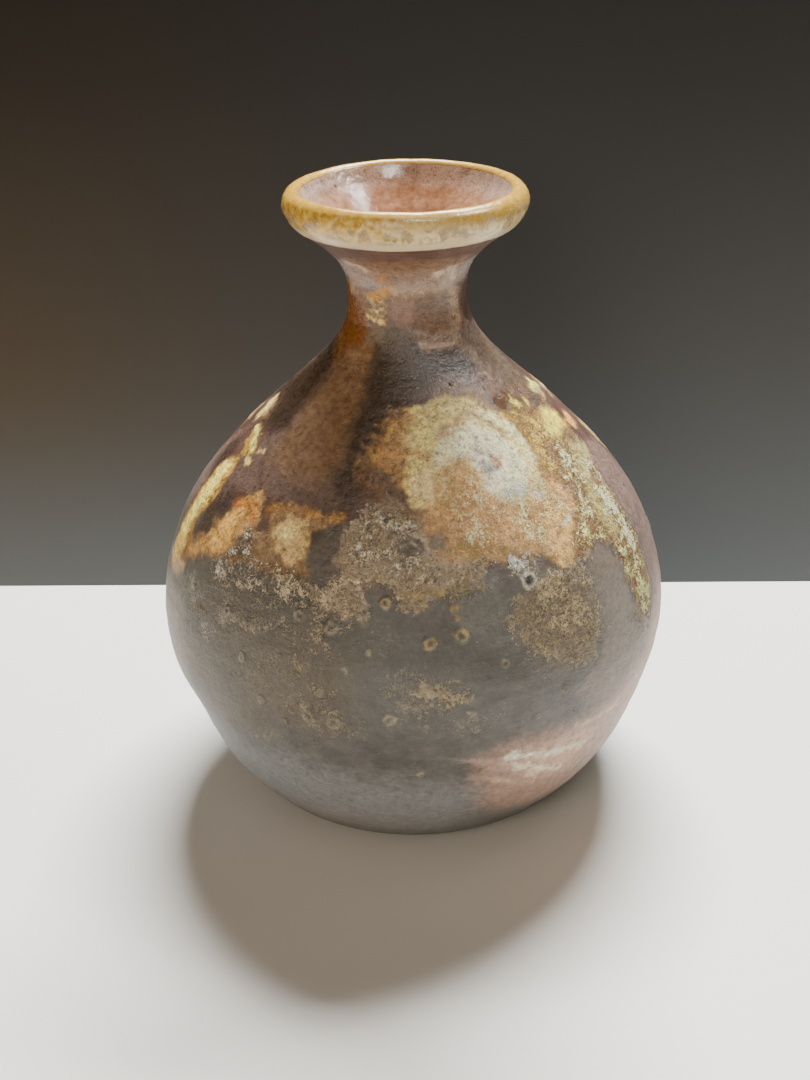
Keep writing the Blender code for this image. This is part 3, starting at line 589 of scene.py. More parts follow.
    wash((176, 106, 46), [(-57, 67.4), (-54, 68), (-50, 67.8), (-48, 66.6)], 0.65, 0.8, half=0.9),
    wash((192, 162, 108), [(-38.6, 66.4), (-35, 68.6), (-30, 69), (-27.6, 66.6), (-28, 63.8), (-31, 62.6), (-36, 63.6)], 0.88, 0.9, 0.9),
    wash((206, 184, 122), [(-36, 66), (-33.6, 68), (-31, 67.4), (-33, 65.2)], 0.7, 0.7),
    wash((156, 112, 58), [(-44, 68.6), (-41, 69.8), (-36, 70.2), (-30, 70)], 0.7, 0.8, half=0.8),
    wash((178, 134, 76), [(-31, 69.9), (-25, 69.8), (-20, 70.4)], 0.85, 0.4, half=0.4, wob=0.6),
    wash((112, 82, 54), [(-47, 66.2), (-44, 63.8), (-42, 65.4), (-44, 61.4), (-48, 60.6), (-51, 61.4), (-49.6, 64)], 0.85, 0.7, 0.8, rough=0.8),
    grit((222, 196, 164), [(-50.6, 64), (-47, 65.8), (-43.6, 64.6), (-41.4, 62), (-39.4, 60.6), (-46, 59.8), (-51, 60.8)], 0.46, 0.92, 1.4),
    grit((214, 184, 148), [(-38, 62), (-30, 62), (-24, 60.8), (-23, 59), (-33, 59.4), (-39, 59.8)], 0.42, 0.9, 1.3),
    grit((236, 222, 200), [(-55.6, 58.4), (-52, 58.8), (-48.6, 57.4), (-50, 56.2), (-53.6, 57)], 0.6, 0.95, 0.9),
    grit((186, 166, 136), [(-20.6, 58.6), (-24, 60), (-32, 60), (-40, 59.6), (-46, 59.4), (-54, 57.6), (-50, 56), (-36, 57.6), (-24, 57)], 0.40, 0.85, 1.6),
    # left streak and splashes
    wash((150, 112, 60), STREAK, 0.95, 0.7, 1.0, vary=0.24),
    wash((204, 168, 92), [(-80, 54), (-80.6, 66), (-79.6, 70), (-74, 71.4), (-71.6, 70.4), (-71.6, 64), (-73, 60), (-71, 56), (-74, 52)], 0.88, 1.1, 0.9, vary=0.2),
    wash((226, 194, 112), [(-76, 69.6), (-75, 66), (-75.4, 62), (-76, 58)], 0.7, 1.4, half=1.4),
    wash((186, 160, 128), [(-80, 52.4), (-74, 51), (-70, 52.6)], 0.8, 1.2, half=1.4),
    wash((170, 132, 66), SPLASH, 0.95, 0.5, 0.8, vary=0.2),
    wash((222, 190, 112), [(-79, 76.4), (-75, 76.2), (-70.6, 75), (-68.4, 74.2)], 0.85, 0.5, half=0.6, wob=0.6),
    wash((200, 180, 110), [(-67.6, 73), (-64.6, 73)], 0.9, 0.4, half=0.5, wob=0.5),
    wash((200, 170, 118), [(-64.6, 75), (-62, 75)], 0.85, 0.4, half=0.4, wob=0.5),
    wash((214, 178, 116), [(-92, 80.6), (-88, 80), (-85, 78.4), (-87, 76.8), (-92, 76.4)], 0.9, 0.8, 0.6),
]
for _t, _z, _r, _h, _g in CRATERS:
    _c = (158, 140, 92) if _g else (146, 136, 114)
    PAINT.append(wash((84, 78, 62) if _g else (96, 90, 78), circle(_t, _z, _r * 0.6), 0.7, 0.35, 0.3))
    PAINT.append(wash(_c, circle(_t, _z, _r), 0.72, 0.30, 0.35, half=0.12 + 0.14 * _r, vary=0.5, rough=0.5))
for _t, _z, _r, _h in BEADS[:5]:
    PAINT.append(wash((160, 134, 78), circle(_t, _z, _r * 0.75), 0.75, 0.35, 0.3, vary=0.5, rough=0.4))
PAINT.append(wash((206, 194, 170), circle(27.8, 59.7, 1.3), 0.6, 0.30, 0.3, half=0.25))
# painted shade: the pin hole is painted near black for the shade inside it
PAINT.append(wash((10, 8, 6), circle(27.8, 59.7, 0.8), 1.0, 0.25, 0.1, vary=0.0))


def seen(rgb):
    """Daylight colour to reflectance."""
    c = (np.asarray(rgb, float) / 255.0) ** 2.2
    lum = float(c @ np.array([0.21, 0.72, 0.07]))
    c = lum + (c - lum) * TINT_SAT
    return np.clip(c * TINT_GAIN * (1.0 + TINT_LIFT * lum) * np.array(TINT_BAL), 0.004, 0.86)


TINT_GAIN, TINT_SAT, TINT_LIFT, TINT_BAL = 0.50, 1.10, 3.8, (1.0, 1.0, 1.04)


def paint(deg, z, p, w1, w2, g):
    """Skin colour (premultiplied) and cover, then grain colour and density, on a grid."""
    n1 = fbm(p, 1.6, 3, 311, 0.62)
    n2 = fbm(p, 3.6, 3, 312, 0.6)
    n3 = perlin(p / 0.62, 313)
    tex = [np.interp(fbm(p, 1.0, 2, 314 + 9 * i, 0.6), *SPECK_CDF) for i in range(3)]
    shape = (len(z), len(deg))
    col, cov, grt = np.zeros(shape + (3,)), np.zeros(shape), np.zeros(shape)
    qcol, den = np.zeros(shape + (3,)), np.zeros(shape)
    for i, L in enumerate(PAINT):
        k = L["wob"]
        r = outline(deg, z, (k * (0.9 * w1[0] + 1.0 * w2[0]), k * (0.9 * w1[1] + 1.0 * w2[1])), L["pts"], L["half"])
        near = r > -L["soft"] - 0.9
        rows = np.nonzero(near.any(axis=1))[0]
        if not len(rows):
            continue
        cols = np.nonzero(near.any(axis=0))[0]
        q = (slice(rows[0], rows[-1] + 1), slice(cols[0], cols[-1] + 1))
        rq = r[q] + (0.25 + 0.35 * L["soft"]) * n1[q] + (0.2 + 0.2 * L["soft"]) * n3[q]
        v = 1.0 + L["vary"] * (1.3 * n1[q] + 1.2 * n2[q] + 0.7 * n3[q])
        c = seen(L["rgb"])[None, None, :] * np.clip(v, 0.35, 1.8)[..., None]
        # thin glass is warmer, thick glass paler
        c = c * (1.0 + L["vary"] * 0.5 * n2[q][..., None] * np.array([-0.4, 0.1, 0.9]))
        c = np.clip(c, 0, 0.9)
        if L["cover"] is None:
            a = smooth(-L["soft"], L["soft"], rq) * L["a"]
            col[q] = col[q] * (1 - a)[..., None] + c * a[..., None]
            cov[q] = cov[q] * (1 - a) + a
            den[q] = den[q] * (1 - a)
            if L["rough"] is not None:
                grt[q] = grt[q] * (1 - a) + L["rough"] * a
        else:
            d = L["cover"] * smooth(-L["soft"], L["soft"], rq) * np.clip(1.0 + 1.3 * n2[q] + 0.8 * n1[q], 0.1, 1.9)
            d = np.clip(d, 0, 0.95)
            new = 1 - (1 - den[q]) * (1 - d)
            share = d / np.maximum(new, 1e-4)
            pick = smooth(-0.10, 0.10, tex[i % 3][q] - (1.0 - share))
            pick = np.where(den[q] < 0.01, 1.0, pick) * (d > 0.002)
            qcol[q] = qcol[q] * (1 - pick)[..., None] + c * pick[..., None]
            den[q] = new
            if L["rough"] is not None:
                grt[q] = np.maximum(grt[q], L["rough"] * smooth(0.0, 0.25, d))
    return {"pr": col[..., 0], "pg": col[..., 1], "pb": col[..., 2], "cov": cov, "grt": grt,
            "qr": qcol[..., 0], "qg": qcol[..., 1], "qb": qcol[..., 2], "den": den}


EXTRA = ["pr", "pg", "pb", "cov", "grt", "qr", "qg", "qb", "den"]


def worms(p):
    """Vermicular half-melted ash: 1 on the crests, 0 in the gaps."""
    q = p + 0.42 * np.stack([perlin(p / 1.25, 201), perlin(p / 1.25, 202), perlin(p / 1.25, 203)], -1) * 2.0
    a = 1.0 - np.abs(perlin(q / 0.98, 211)) * 2.7
    b = 1.0 - np.abs(perlin(q @ _ROT / 0.50, 212)) * 2.7
    c = perlin(q / 2.1, 213) * 0.9
    return np.clip(0.58 * np.clip(a, 0, 1) + 0.34 * np.clip(b, 0, 1) + 0.30 * c + 0.05, 0, 1)


_rng = np.random.RandomState(5)
_sample = base_point(_rng.uniform(-math.pi, math.pi, 30000), _rng.uniform(10, 90, 30000))
_q = np.linspace(0, 1, 65)
WORM_CDF = (np.quantile(worms(_sample), _q) + np.arange(65) * 1e-9, _q)
SPECK_CDF = (np.quantile(fbm(_sample, 1.0, 2, 314, 0.6), _q) + np.arange(65) * 1e-9, _q)


def small_relief(deg, z, w2):
    """Blisters and drops standing on the wall: height in mm, negative elsewhere."""
    out = np.full((len(z), len(deg)), -1.0)
    s, rad = s_of_z(z), outer_r(z)
    for t0, z0, r0, h0 in [c[:4] for c in CRATERS] + [(b[0], b[1], -b[2], b[3]) for b in BEADS]:
        crater, r0 = r0 > 0, abs(r0)
        dth = (deg - t0 + 180.0) % 360.0 - 180.0
        rows = np.nonzero(np.abs(s - float(s_of_z(z0))) < r0 + 1.4)[0]
        cols = np.nonzero(np.abs(dth) < math.degrees((r0 + 1.4) / float(outer_r(z0))))[0]
        if not len(rows) or not len(cols):
            continue
        g = np.ix_(rows, cols)
        u = rad[rows][:, None] * np.radians(dth[cols])[None, :] + 0.22 * w2[0][g]
        v = (s[rows] - float(s_of_z(z0)))[:, None] + 0.22 * w2[1][g]
        d = np.hypot(u, v)
        if crater:
            w = 0.26 + 0.16 * r0
            h = h0 * np.exp(-((d - r0) / w) ** 2) + 0.02 - 0.10 * smooth(r0 * 0.8, r0 * 0.3, d)
            h = np.where(d > r0 + 2.0 * w, -1.0, h)
        else:
            h = np.where(d < r0 * 1.25, h0 * np.sqrt(np.clip(1.1 - (d / r0) ** 2, 0.0, 1.0)) - 0.04, -1.0)
        out[g] = np.maximum(out[g], h)
    return out


def relief_clay(th, z, p):
    """Height of the bare thrown wall over the true turned surface, mm."""
    s = s_of_z(z)
    amp = 0.5 + 0.5 * fbm(p, 18.0, 2, 71)
    spiral = s + 0.6 * th / TAU
    d = 0.035 * amp * np.sin(TAU * spiral / 4.3 + 0.8 * np.sin(s / 9.0))
    d += 0.014 * np.sin(TAU * spiral / 1.45 + 1.3 * fbm(p * np.array([0.2, 0.2, 1.0]), 6.0, 2, 5))
    k = smooth(4.0, 14.0, z)
    taper = 0.35 + 0.65 * smooth(103.0, 80.0, z)
    d += k * taper * (0.20 * np.cos(th - 0.7 + z / 60.0) + 0.16 * np.cos(2 * th + 1.1 + z / 45.0)
                      + 0.09 * np.cos(3 * th + 2.0 - z / 30.0))
    d += k * taper * 0.22 * fbm(p, 16.0, 3, 13)
    d += 0.028 * fbm(p, 2.6, 2, 29)
    # the old joint of the two thrown halves stands out a little on the left
    side = smooth(50.0, 8.0, np.abs((np.degrees(th) + 88.0 + 180) % 360 - 180))
    d += side * 0.38 * (smooth(24.0, 29.2, z) - smooth(29.8, 38.0, z))
    return d


def amount(reach, lo, hi):
    return np.clip((reach - lo) / (hi - lo), 0.0, 1.0)


def layer(th, z):
    """Thickness of fused ash over the clay on a grid (negative where there is none), and fields."""
    f, p, w1, w2 = survey(th, z)
    g = worms(p)
    soft = fbm(p, 1.5, 3, 52, 0.6)
    gold_r = f["gold"] + 0.5 * soft
    t_gold = -0.30 + 0.30 * smooth(-1.2, 0.1, gold_r) + 0.13 * smooth(0.0, 2.6, gold_r)
    t_gold += smooth(-0.2, 1.2, gold_r) * (0.05 * w2[0] + 0.06 * soft)
    cream = smooth(-0.4, 3.0, f["cream"])
    t_cream = 0.20 * cream * (1 + 0.3 * w1[0])
    # the crust thins out into single grains at its rim
    dens = amount(f["crust"] + 0.9 * w2[1], -2.4, 2.2)
    t_crust = -0.30 + 0.32 * smooth(0.74, 1.04, g + dens) + smooth(0.55, 1.0, g + dens) * dens * (0.20 * g + 0.10 * w2[0])
    dens_g = 0.62 * amount(f["grain"] + 0.9 * w2[0], -2.6, 2.4)
    t_grain = -0.30 + 0.42 * smooth(0.96, 1.22, g + dens_g)
    t = np.maximum(np.maximum(t_gold + t_cream * (t_gold > -0.05), t_crust), t_grain)
    t = np.maximum(t, small_relief(np.degrees(th), z, w2))
    hole = ell(np.degrees(th), z, (0.06 * w2[0], 0.06 * w2[1]), [(27.8, 59.7, 0.72, 0.6)])
    ringed = smooth(-1.5, -0.5, hole)
    t = np.where(hole > -1.5, np.maximum(t, -0.02 + 0.14 * ringed), t)
    t = t - 0.55 * smooth(-0.15, 0.28, hole)
    f["hole"] = hole
    f["g"] = g
    f.update(paint(np.degrees(th), z, p, w1, w2, g))
    return t, f, p


# =====================================================================
# mesh building
# =====================================================================
def new_mesh(name, verts_mm, faces, attrs=None, uv=None, sharp=62.0):
    """faces: list of index arrays of equal width (n x 3 or n x 4). uv: per-corner coordinates."""
    me = bpy.data.meshes.new(name)
    verts = np.asarray(verts_mm, float) * MM
    counts = sum(len(f) for f in faces)
    corners_n = sum(f.size for f in faces)
    me.vertices.add(len(verts))
    me.vertices.foreach_set("co", verts.astype(np.float32).ravel())
    me.loops.add(corners_n)
    me.loops.foreach_set("vertex_index", np.concatenate([f.ravel() for f in faces]).astype(np.int32))
    me.polygons.add(counts)
    starts, at = [], 0
    for f in faces:
        starts.append(at + np.arange(len(f)) * f.shape[1])
        at += f.size
    me.polygons.foreach_set("loop_start", np.concatenate(starts).astype(np.int32))
    me.update(calc_edges=True)
    if attrs:
        for key, val in attrs.items():
            a = me.attributes.new(key, "FLOAT", "POINT")
            a.data.foreach_set("value", np.asarray(val, np.float32).ravel())
    if uv is not None:
        layer_uv = me.uv_layers.new(name="OFBake")
        layer_uv.data.foreach_set("uv", np.asarray(uv, np.float32).ravel())
    me.shade_smooth()
    me.set_sharp_from_angle(angle=math.radians(sharp))
    me.validate()
    ob = bpy.data.objects.new(name, me)
    bpy.context.scene.collection.objects.link(ob)
    return ob


def uv_from_vertices(faces, vu, wrap=True):
    """Per-corner UV from per-vertex UV; corners on the far side of the wrap move by one turn."""
    out = []
    for f in faces:
        c = vu[f].copy()
        if wrap:
            u = c[..., 0]
            far = (u.max(axis=1, keepdims=True) - u) > 0.5
            c[..., 0] = u + far
        out.append(c.reshape(-1, 2))
    return np.concatenate(out)


def stitch(a0, na, b0, nb):
    """Faces between ring a and ring b (indices start a0, b0; counts na, nb), one a multiple of the other."""
    if na == nb:
        j = np.arange(na)
        k = (j + 1) % na
        return [np.stack([a0 + j, a0 + k, b0 + k, b0 + j], 1)]
    out = []
    if na > nb:
        q = na // nb
        j = np.arange(nb)
        half = q // 2
        for i in range(q):
            c = j if i < half else (j + 1) % nb
            out.append(np.stack([a0 + (j * q + i) % na, a0 + (j * q + i + 1) % na, b0 + c], 1))
        out.append(np.stack([a0 + (j * q + half) % na, b0 + (j + 1) % nb, b0 + j], 1))
        return out
    q = nb // na
    j = np.arange(na)
    half = q // 2
    for i in range(q):
        c = j if i < half else (j + 1) % na
        out.append(np.stack([a0 + c, b0 + (j * q + i + 1) % nb, b0 + (j * q + i) % nb], 1))
    out.append(np.stack([a0 + j, a0 + (j + 1) % na, b0 + (j * q + half) % nb], 1))
    return out


def pack_fields(f, n):
    """Reach in mm to 0..1 masks, 0.5 on the outline."""
    out = {}
    for key, (_items, w) in FIELDS.items():
        out[key] = np.clip(0.5 + 0.5 * f[key] / w, 0, 1) if f else np.zeros(n)
    return out


class Ring:
    """A turned member made of rings; each ring has its own count of columns."""

    def __init__(self, name):
        self.name = name
        self.v, self.n, self.start, self.side, self.arc = [], [], [], [], []
        self.attrs = {}
        self.total = 0

    def add(self, r, z, n, relief=None, side=0, extra=None):
        th = np.arange(n) * TAU / n - math.pi
        if relief is not None:
            d, nr, nz = relief
            rr, zz = r + d * nr, z + d * nz
        else:
            rr, zz = np.full(n, float(r)), np.full(n, float(z))
        p = place(rr, zz, th)
        self.v.append(p)
        self.n.append(n)
        self.start.append(self.total)
        self.total += n
        self.side.append(side)
        extra = extra or {}
        for key in list(FIELDS) + EXTRA + ["zone", "height", "pit"]:
            self.attrs.setdefault(key, []).append(np.broadcast_to(extra.get(key, 0.0), (n,)))
        return self

    def build(self, closed=True, fan_top=None, fan_end=None, sharp=62.0):
        faces = []
        m = len(self.n)
        pairs = [(i, i + 1) for i in range(m - 1)] + ([(m - 1, 0)] if closed else [])
        face_rows = []
        for i, j in pairs:
            fs = stitch(self.start[i], self.n[i], self.start[j], self.n[j])
            faces += fs
            face_rows += [i] * len(fs)
        verts = np.concatenate(self.v)
        caps = []
        for which in (fan_top, fan_end):
            if which is None:
                continue
            row, point = which
            c = len(verts)
            verts = np.concatenate([verts, [point]])
            caps.append(c)
            j = np.arange(self.n[row])
            k = (j + 1) % self.n[row]
            if row == 0:
                faces.append(np.stack([self.start[row] + k, self.start[row] + j, np.full_like(j, c)], 1))
            else:
                faces.append(np.stack([self.start[row] + j, self.start[row] + k, np.full_like(j, c)], 1))
            face_rows.append(row)
        attrs = {}
        for key, rows in self.attrs.items():
            a = np.concatenate(rows)
            attrs[key] = np.concatenate([a, np.zeros(len(caps))]) if caps else a
        # texture layout: the outside fills most of the sheet in two bands, the rest in a strip
        rows_v = np.zeros(m)
        for i in range(1, m):
            a, b = self.v[i - 1], self.v[i]
            rows_v[i] = rows_v[i - 1] + float(np.hypot(np.abs(a[0] - b[0])[:2].max(), abs(a[0, 2] - b[0, 2])))
        side = np.array(self.side)
        out_rows = np.where(side == 0)[0]
        lo, hi = rows_v[out_rows[0]], rows_v[out_rows[-1]]
        uvs = []
        tot = rows_v[-1] + 1e-6
        for fi, (f, row) in enumerate(zip(faces, face_rows)):
            th = np.arctan2(verts[f][..., 0] - lean(verts[f][..., 2]), -verts[f][..., 1]) / TAU + 0.5
            th = np.where((th.max(axis=1, keepdims=True) - th) > 0.5, th + 1.0, th)
            rowof = np.searchsorted(np.array(self.start + [self.total]), f, side="right") - 1
            rowof = np.clip(rowof, 0, m - 1)
            vv = rows_v[rowof]
            mid = th.mean(axis=1)
            is_out = (row in out_rows) and (row + 1 in out_rows)
            if is_out:
                band = (mid >= 0.5).astype(float)
                u = (th - 0.5 * band[:, None]) * 2.0 * 0.98 + 0.005
                v = 0.01 + 0.44 * (vv - lo) / max(hi - lo, 1e-6) + 0.455 * band[:, None]
            else:
                rest = (vv - hi) / max(tot - hi, 1e-6)
                u = th * 0.98
                v = 0.925 + 0.07 * np.clip(rest, 0, 1)
            uvs.append(np.stack([np.clip(u, 0, 1), np.clip(v, 0, 1)], -1).reshape(-1, 2))
        return new_mesh(self.name, verts, faces, attrs, np.concatenate(uvs), sharp)


def clay_rows(ring, heights, n, zone=0.0):
    """Rings of the outside at the given outer heights, with their relief and masks."""
    th = np.arange(n) * TAU / n - math.pi
    heights = np.asarray(heights, float)
    f, p, w1, w2 = survey(th, heights)
    TH, Z = np.meshgrid(th, heights)
    d = relief_clay(TH, Z, p)
    g = worms(p)
    masks = pack_fields(f, n)
    masks.update(paint(np.degrees(th), heights, p, w1, w2, g))
    for i, zp in enumerate(heights):
        nr, nz = normal_rz(float(zp))
        extra = {k: v[i] for k, v in masks.items()}
        extra["zone"] = zone
        extra["height"] = g[i]
        ring.add(float(outer_r(float(zp))), float(zp), n, (d[i], nr, nz), 0, extra)


def inner_row(ring, r, z, n, zone=0.0, masks=None):
    th = np.arange(n) * TAU / n - math.pi
    p = place(np.full(n, float(r)), np.full(n, float(z)), th)
    d = 0.03 * fbm(p, 3.0, 2, 77) + 0.03 * np.sin(TAU * z / 3.6)
    ex = {"zone": zone}
    if masks:
        ex.update(masks)
    ring.add(float(r), float(z), n, (d, 1.0, 0.0), 1, ex)


QUICK_MESH = 1


def inside_pt(z):
    nr, nz = normal_rz(z)
    return float(outer_r(z) - nr * wall(z)), float(z - nz * wall(z))


pieces = []

# ---------------------------------------------------------------- floor slab
ring = Ring("foot_slab")
N_FOOT = 448
ring.add(0.35, FLOOR_T, 28, None, 1, {"zone": 0.0})
for r in (8.0, 18.0, 26.0):
    ring.add(r, FLOOR_T, 56, None, 1, {"zone": 0.0})
ring.add(inside_pt(FLOOR_T)[0] - 0.3, FLOOR_T, 112, None, 1, {"zone": 0.0})
clay_rows(ring, np.linspace(Z_FLOOR, 1.7, 6), N_FOOT)
edge = FOOT_R - 0.9
for a in np.linspace(10, -90, 8):
    th = np.arange(N_FOOT) * TAU / N_FOOT - math.pi
    r = edge + 1.5 * math.cos(math.radians(a)) - 0.15
    z = 1.55 + 1.5 * math.sin(math.radians(a)) + 0.0
    z = max(z, 0.05)
    f, p, w1, w2 = survey(th, np.array([max(z, 0.1)]))
    ex = {k: v[0] for k, v in pack_fields(f, N_FOOT).items()}
    ex["zone"] = 0.0
    ring.add(r, z, N_FOOT, (0.05 * w2[0][0], 1.0, 0.0), 0, ex)
for r in (29.5, 26.0, 20.0, 13.0, 6.0):
    n = 224 if r > 15 else 112
    th = np.arange(n) * TAU / n - math.pi
    p = place(np.full(n, r), np.full(n, 0.0), th)
    bump = 0.03 + 0.03 * np.abs(fbm(p, 2.5, 3, 88))
    ring.add(r, 0.0, n, (bump, 0.0, 1.0), 1, {"zone": 0.9})
ring.add(0.4, 0.05, 28, None, 1, {"zone": 0.9})
foot = ring.build(closed=False, fan_top=(0, (0.0, 0.0, FLOOR_T)), fan_end=(len(ring.n) - 1, (0.0, 0.0, 0.05)))
pieces.append((foot, ("base_disc",), "clay_reduced"))

# ---------------------------------------------------------------- lower wall
ring = Ring("lower_wall")
N_BODY = 672
arc_rows = np.arange(s_of_z(Z_FLOOR), s_of_z(Z_BELLY), 0.47)
clay_rows(ring, [float(z_of_s(s)) for s in reversed(list(arc_rows[:-1]) + [s_of_z(Z_BELLY)])], N_BODY)
for z in np.linspace(FLOOR_T + 0.9, Z_BELLY + 0.9, 22):
    r_in, z_in = inside_pt(z)
    inner_row(ring, r_in, z_in, N_BODY // 4)
low = ring.build(closed=True)
pieces.append((low, ("lower_body",), "clay_reduced"))

# ---------------------------------------------------------------- shoulder wall
ring = Ring("shoulder_wall")
s_mid = s_of_z(77.0)
up = list(np.arange(s_of_z(Z_BELLY), s_mid, 0.50))
fine = list(np.arange(s_mid, s_of_z(Z_NECK), 0.46))
clay_rows(ring, [float(z_of_s(s)) for s in reversed(fine[:-1] + [s_of_z(Z_NECK)])], N_BODY // 2)
clay_rows(ring, [float(z_of_s(s)) for s in reversed(up)], N_BODY)
for z in np.linspace(Z_BELLY + 1.0, Z_NECK + 0.5, 40):
    r_in, z_in = inside_pt(z)
    inner_row(ring, r_in, z_in, N_BODY // 4)
sho = ring.build(closed=True)
pieces.append((sho, ("upper_body",), "clay_flashed"))

# ---------------------------------------------------------------- throat
ring = Ring("throat")
N_NECK = 336
clay_rows(ring, np.linspace(Z_MOUTH, Z_NECK, 36), N_NECK)
for z in np.linspace(Z_NECK + 1.4, Z_MOUTH + 1.0, 14):
    rr = float(funnel_r(max(z, 98.5)))
    inner_row(ring, rr, z, N_NECK // 4, 0.5)
thr = ring.build(closed=True)
pieces.append((thr, ("neck_collar",), "clay_throat"))

# ---------------------------------------------------------------- funnel
LIP_SEAM = 118.2


def mouth_relief(r, z, th):
    p = place(np.full(len(th), r), np.full(len(th), z), th)
    d = 0.05 * fbm(p, 2.4, 3, 61) + 0.025 * np.sin(TAU * z / 2.9 + th)
    f1, _f2, idn = cells(p, 2.6, 91)
    pit = np.where(idn > 0.72, smooth(0.17, 0.05, f1), 0.0)
    return d + 0.16 * pit, pit


ring = Ring("funnel")
clay_rows(ring, np.linspace(LIP_UNDER, Z_MOUTH, 34), N_NECK)
for z in np.linspace(Z_MOUTH + 1.2, LIP_SEAM, 40):
    th = np.arange(N_NECK) * TAU / N_NECK - math.pi
    r = float(funnel_r(z))
    d, pit = mouth_relief(r, z, th)
    ring.add(r, z, N_NECK, (d, 0.85, -0.5), 1, {"zone": 0.5, "height": pit})
fun = ring.build(closed=True)
pieces.append((fun, ("mouth_flare", "mouth_glaze"), "glass_rose"))

# ---------------------------------------------------------------- rolled lip
def lip_section():
    """Closed section of the lip, from the inner seat up the inside, over the top, down the outside."""
    key = [(float(funnel_r(LIP_SEAM)), LIP_SEAM), (float(funnel_r(119.3)), 119.3), (19.2, 120.3), (19.75, 121.05),
           (20.5, HEIGHT), (21.3, HEIGHT - 0.2),
           (22.05, HEIGHT - 0.85), (22.48, HEIGHT - 1.85), (22.6, HEIGHT - 2.9), (22.5, HEIGHT - 3.9),
           (22.15, HEIGHT - 4.75), (21.55, HEIGHT - 5.6), (20.95, HEIGHT - 6.3), (20.45, HEIGHT - 6.75),
           (20.05, HEIGHT - 6.85), (19.7, HEIGHT - 6.6), (18.9, HEIGHT - 5.4)]
    k = np.array(key)
    t = np.concatenate([[0], np.cumsum(np.hypot(*np.diff(k, axis=0).T))])
    tt = np.linspace(0, t[-1], 74)
    # Catmull-Rom through the stations
    out = []
    for u in tt:
        i = int(np.clip(np.searchsorted(t, u) - 1, 0, len(k) - 2))
        p0, p1, p2, p3 = k[max(i - 1, 0)], k[i], k[i + 1], k[min(i + 2, len(k) - 1)]
        w = (u - t[i]) / (t[i + 1] - t[i])
        out.append(0.5 * ((2 * p1) + (-p0 + p2) * w + (2 * p0 - 5 * p1 + 4 * p2 - p3) * w ** 2
                          + (-p0 + 3 * p1 - 3 * p2 + p3) * w ** 3))
    return np.array(out)


ring = Ring("rolled_lip")
N_LIP = 416
sec = lip_section()
tang = np.gradient(sec, axis=0)
nrm = np.stack([-tang[:, 1], tang[:, 0]], 1)
nrm /= np.linalg.norm(nrm, axis=1)[:, None]
th = np.arange(N_LIP) * TAU / N_LIP - math.pi
for (r, z), (nr, nz) in zip(sec, nrm):
    p = place(np.full(N_LIP, r), np.full(N_LIP, z), th)
    # the roll is hand shaped: slow swells, a few soft drips along its lower half
    d = 0.10 * fbm(p, 7.0, 3, 131) + 0.03 * fbm(p, 1.6, 2, 133)
    drip = fbm(p * np.array([1.0, 1.0, 0.35]), 3.2, 2, 137)
    d += 0.16 * np.clip(drip, 0, 1) * math.exp(-((z - (HEIGHT - 3.6)) / 1.8) ** 2) * (1 if r > 20.6 else 0.3)
    d += 0.10 * math.exp(-((z - (HEIGHT - 2.2)) / 1.3) ** 2) * (r > 20.5)
    d -= 0.10 * math.exp(-((z - (HEIGHT - 4.6)) / 0.7) ** 2) * (r > 20.5)
    inner = 1.0 if (r < 20.4 and z > 117.5) else 0.0
    blend_in = float(smooth(LIP_SEAM, 119.8, np.float64(z))) if inner else 1.0
    dm, pit = mouth_relief(r, z, th)
    wob = 0.12 * np.cos(2 * th + 0.6) + 0.07 * np.cos(3 * th + 2.2)
    zone = 1.0 if not inner else 0.5 + 0.5 * float(smooth(120.2, 121.1, np.float64(z)))
    dr = blend_in * d * nr + (1 - blend_in) * dm * 0.85
    ring.add(r, z, N_LIP, (dr, 1.0, 0.0), 0,
             {"zone": zone, "height": np.clip(drip, 0, 1) * blend_in + pit * (1 - blend_in)})
    rise = float(smooth(115.0, 121.0, np.float64(z))) * (blend_in if inner else 1.0)
    ring.v[-1][:, 2] += blend_in * d * nz + (1 - blend_in) * dm * -0.5 + wob * 0.8 * rise
lip = ring.build(closed=True)
pieces.append((lip, ("lip_band", "lip_glaze"), "glass_cream"))

# =====================================================================
# fused ash: windows on one common layer, each a closed solid sunk in the clay
# =====================================================================
D_TH = TAU / 1056
D_S = 0.28


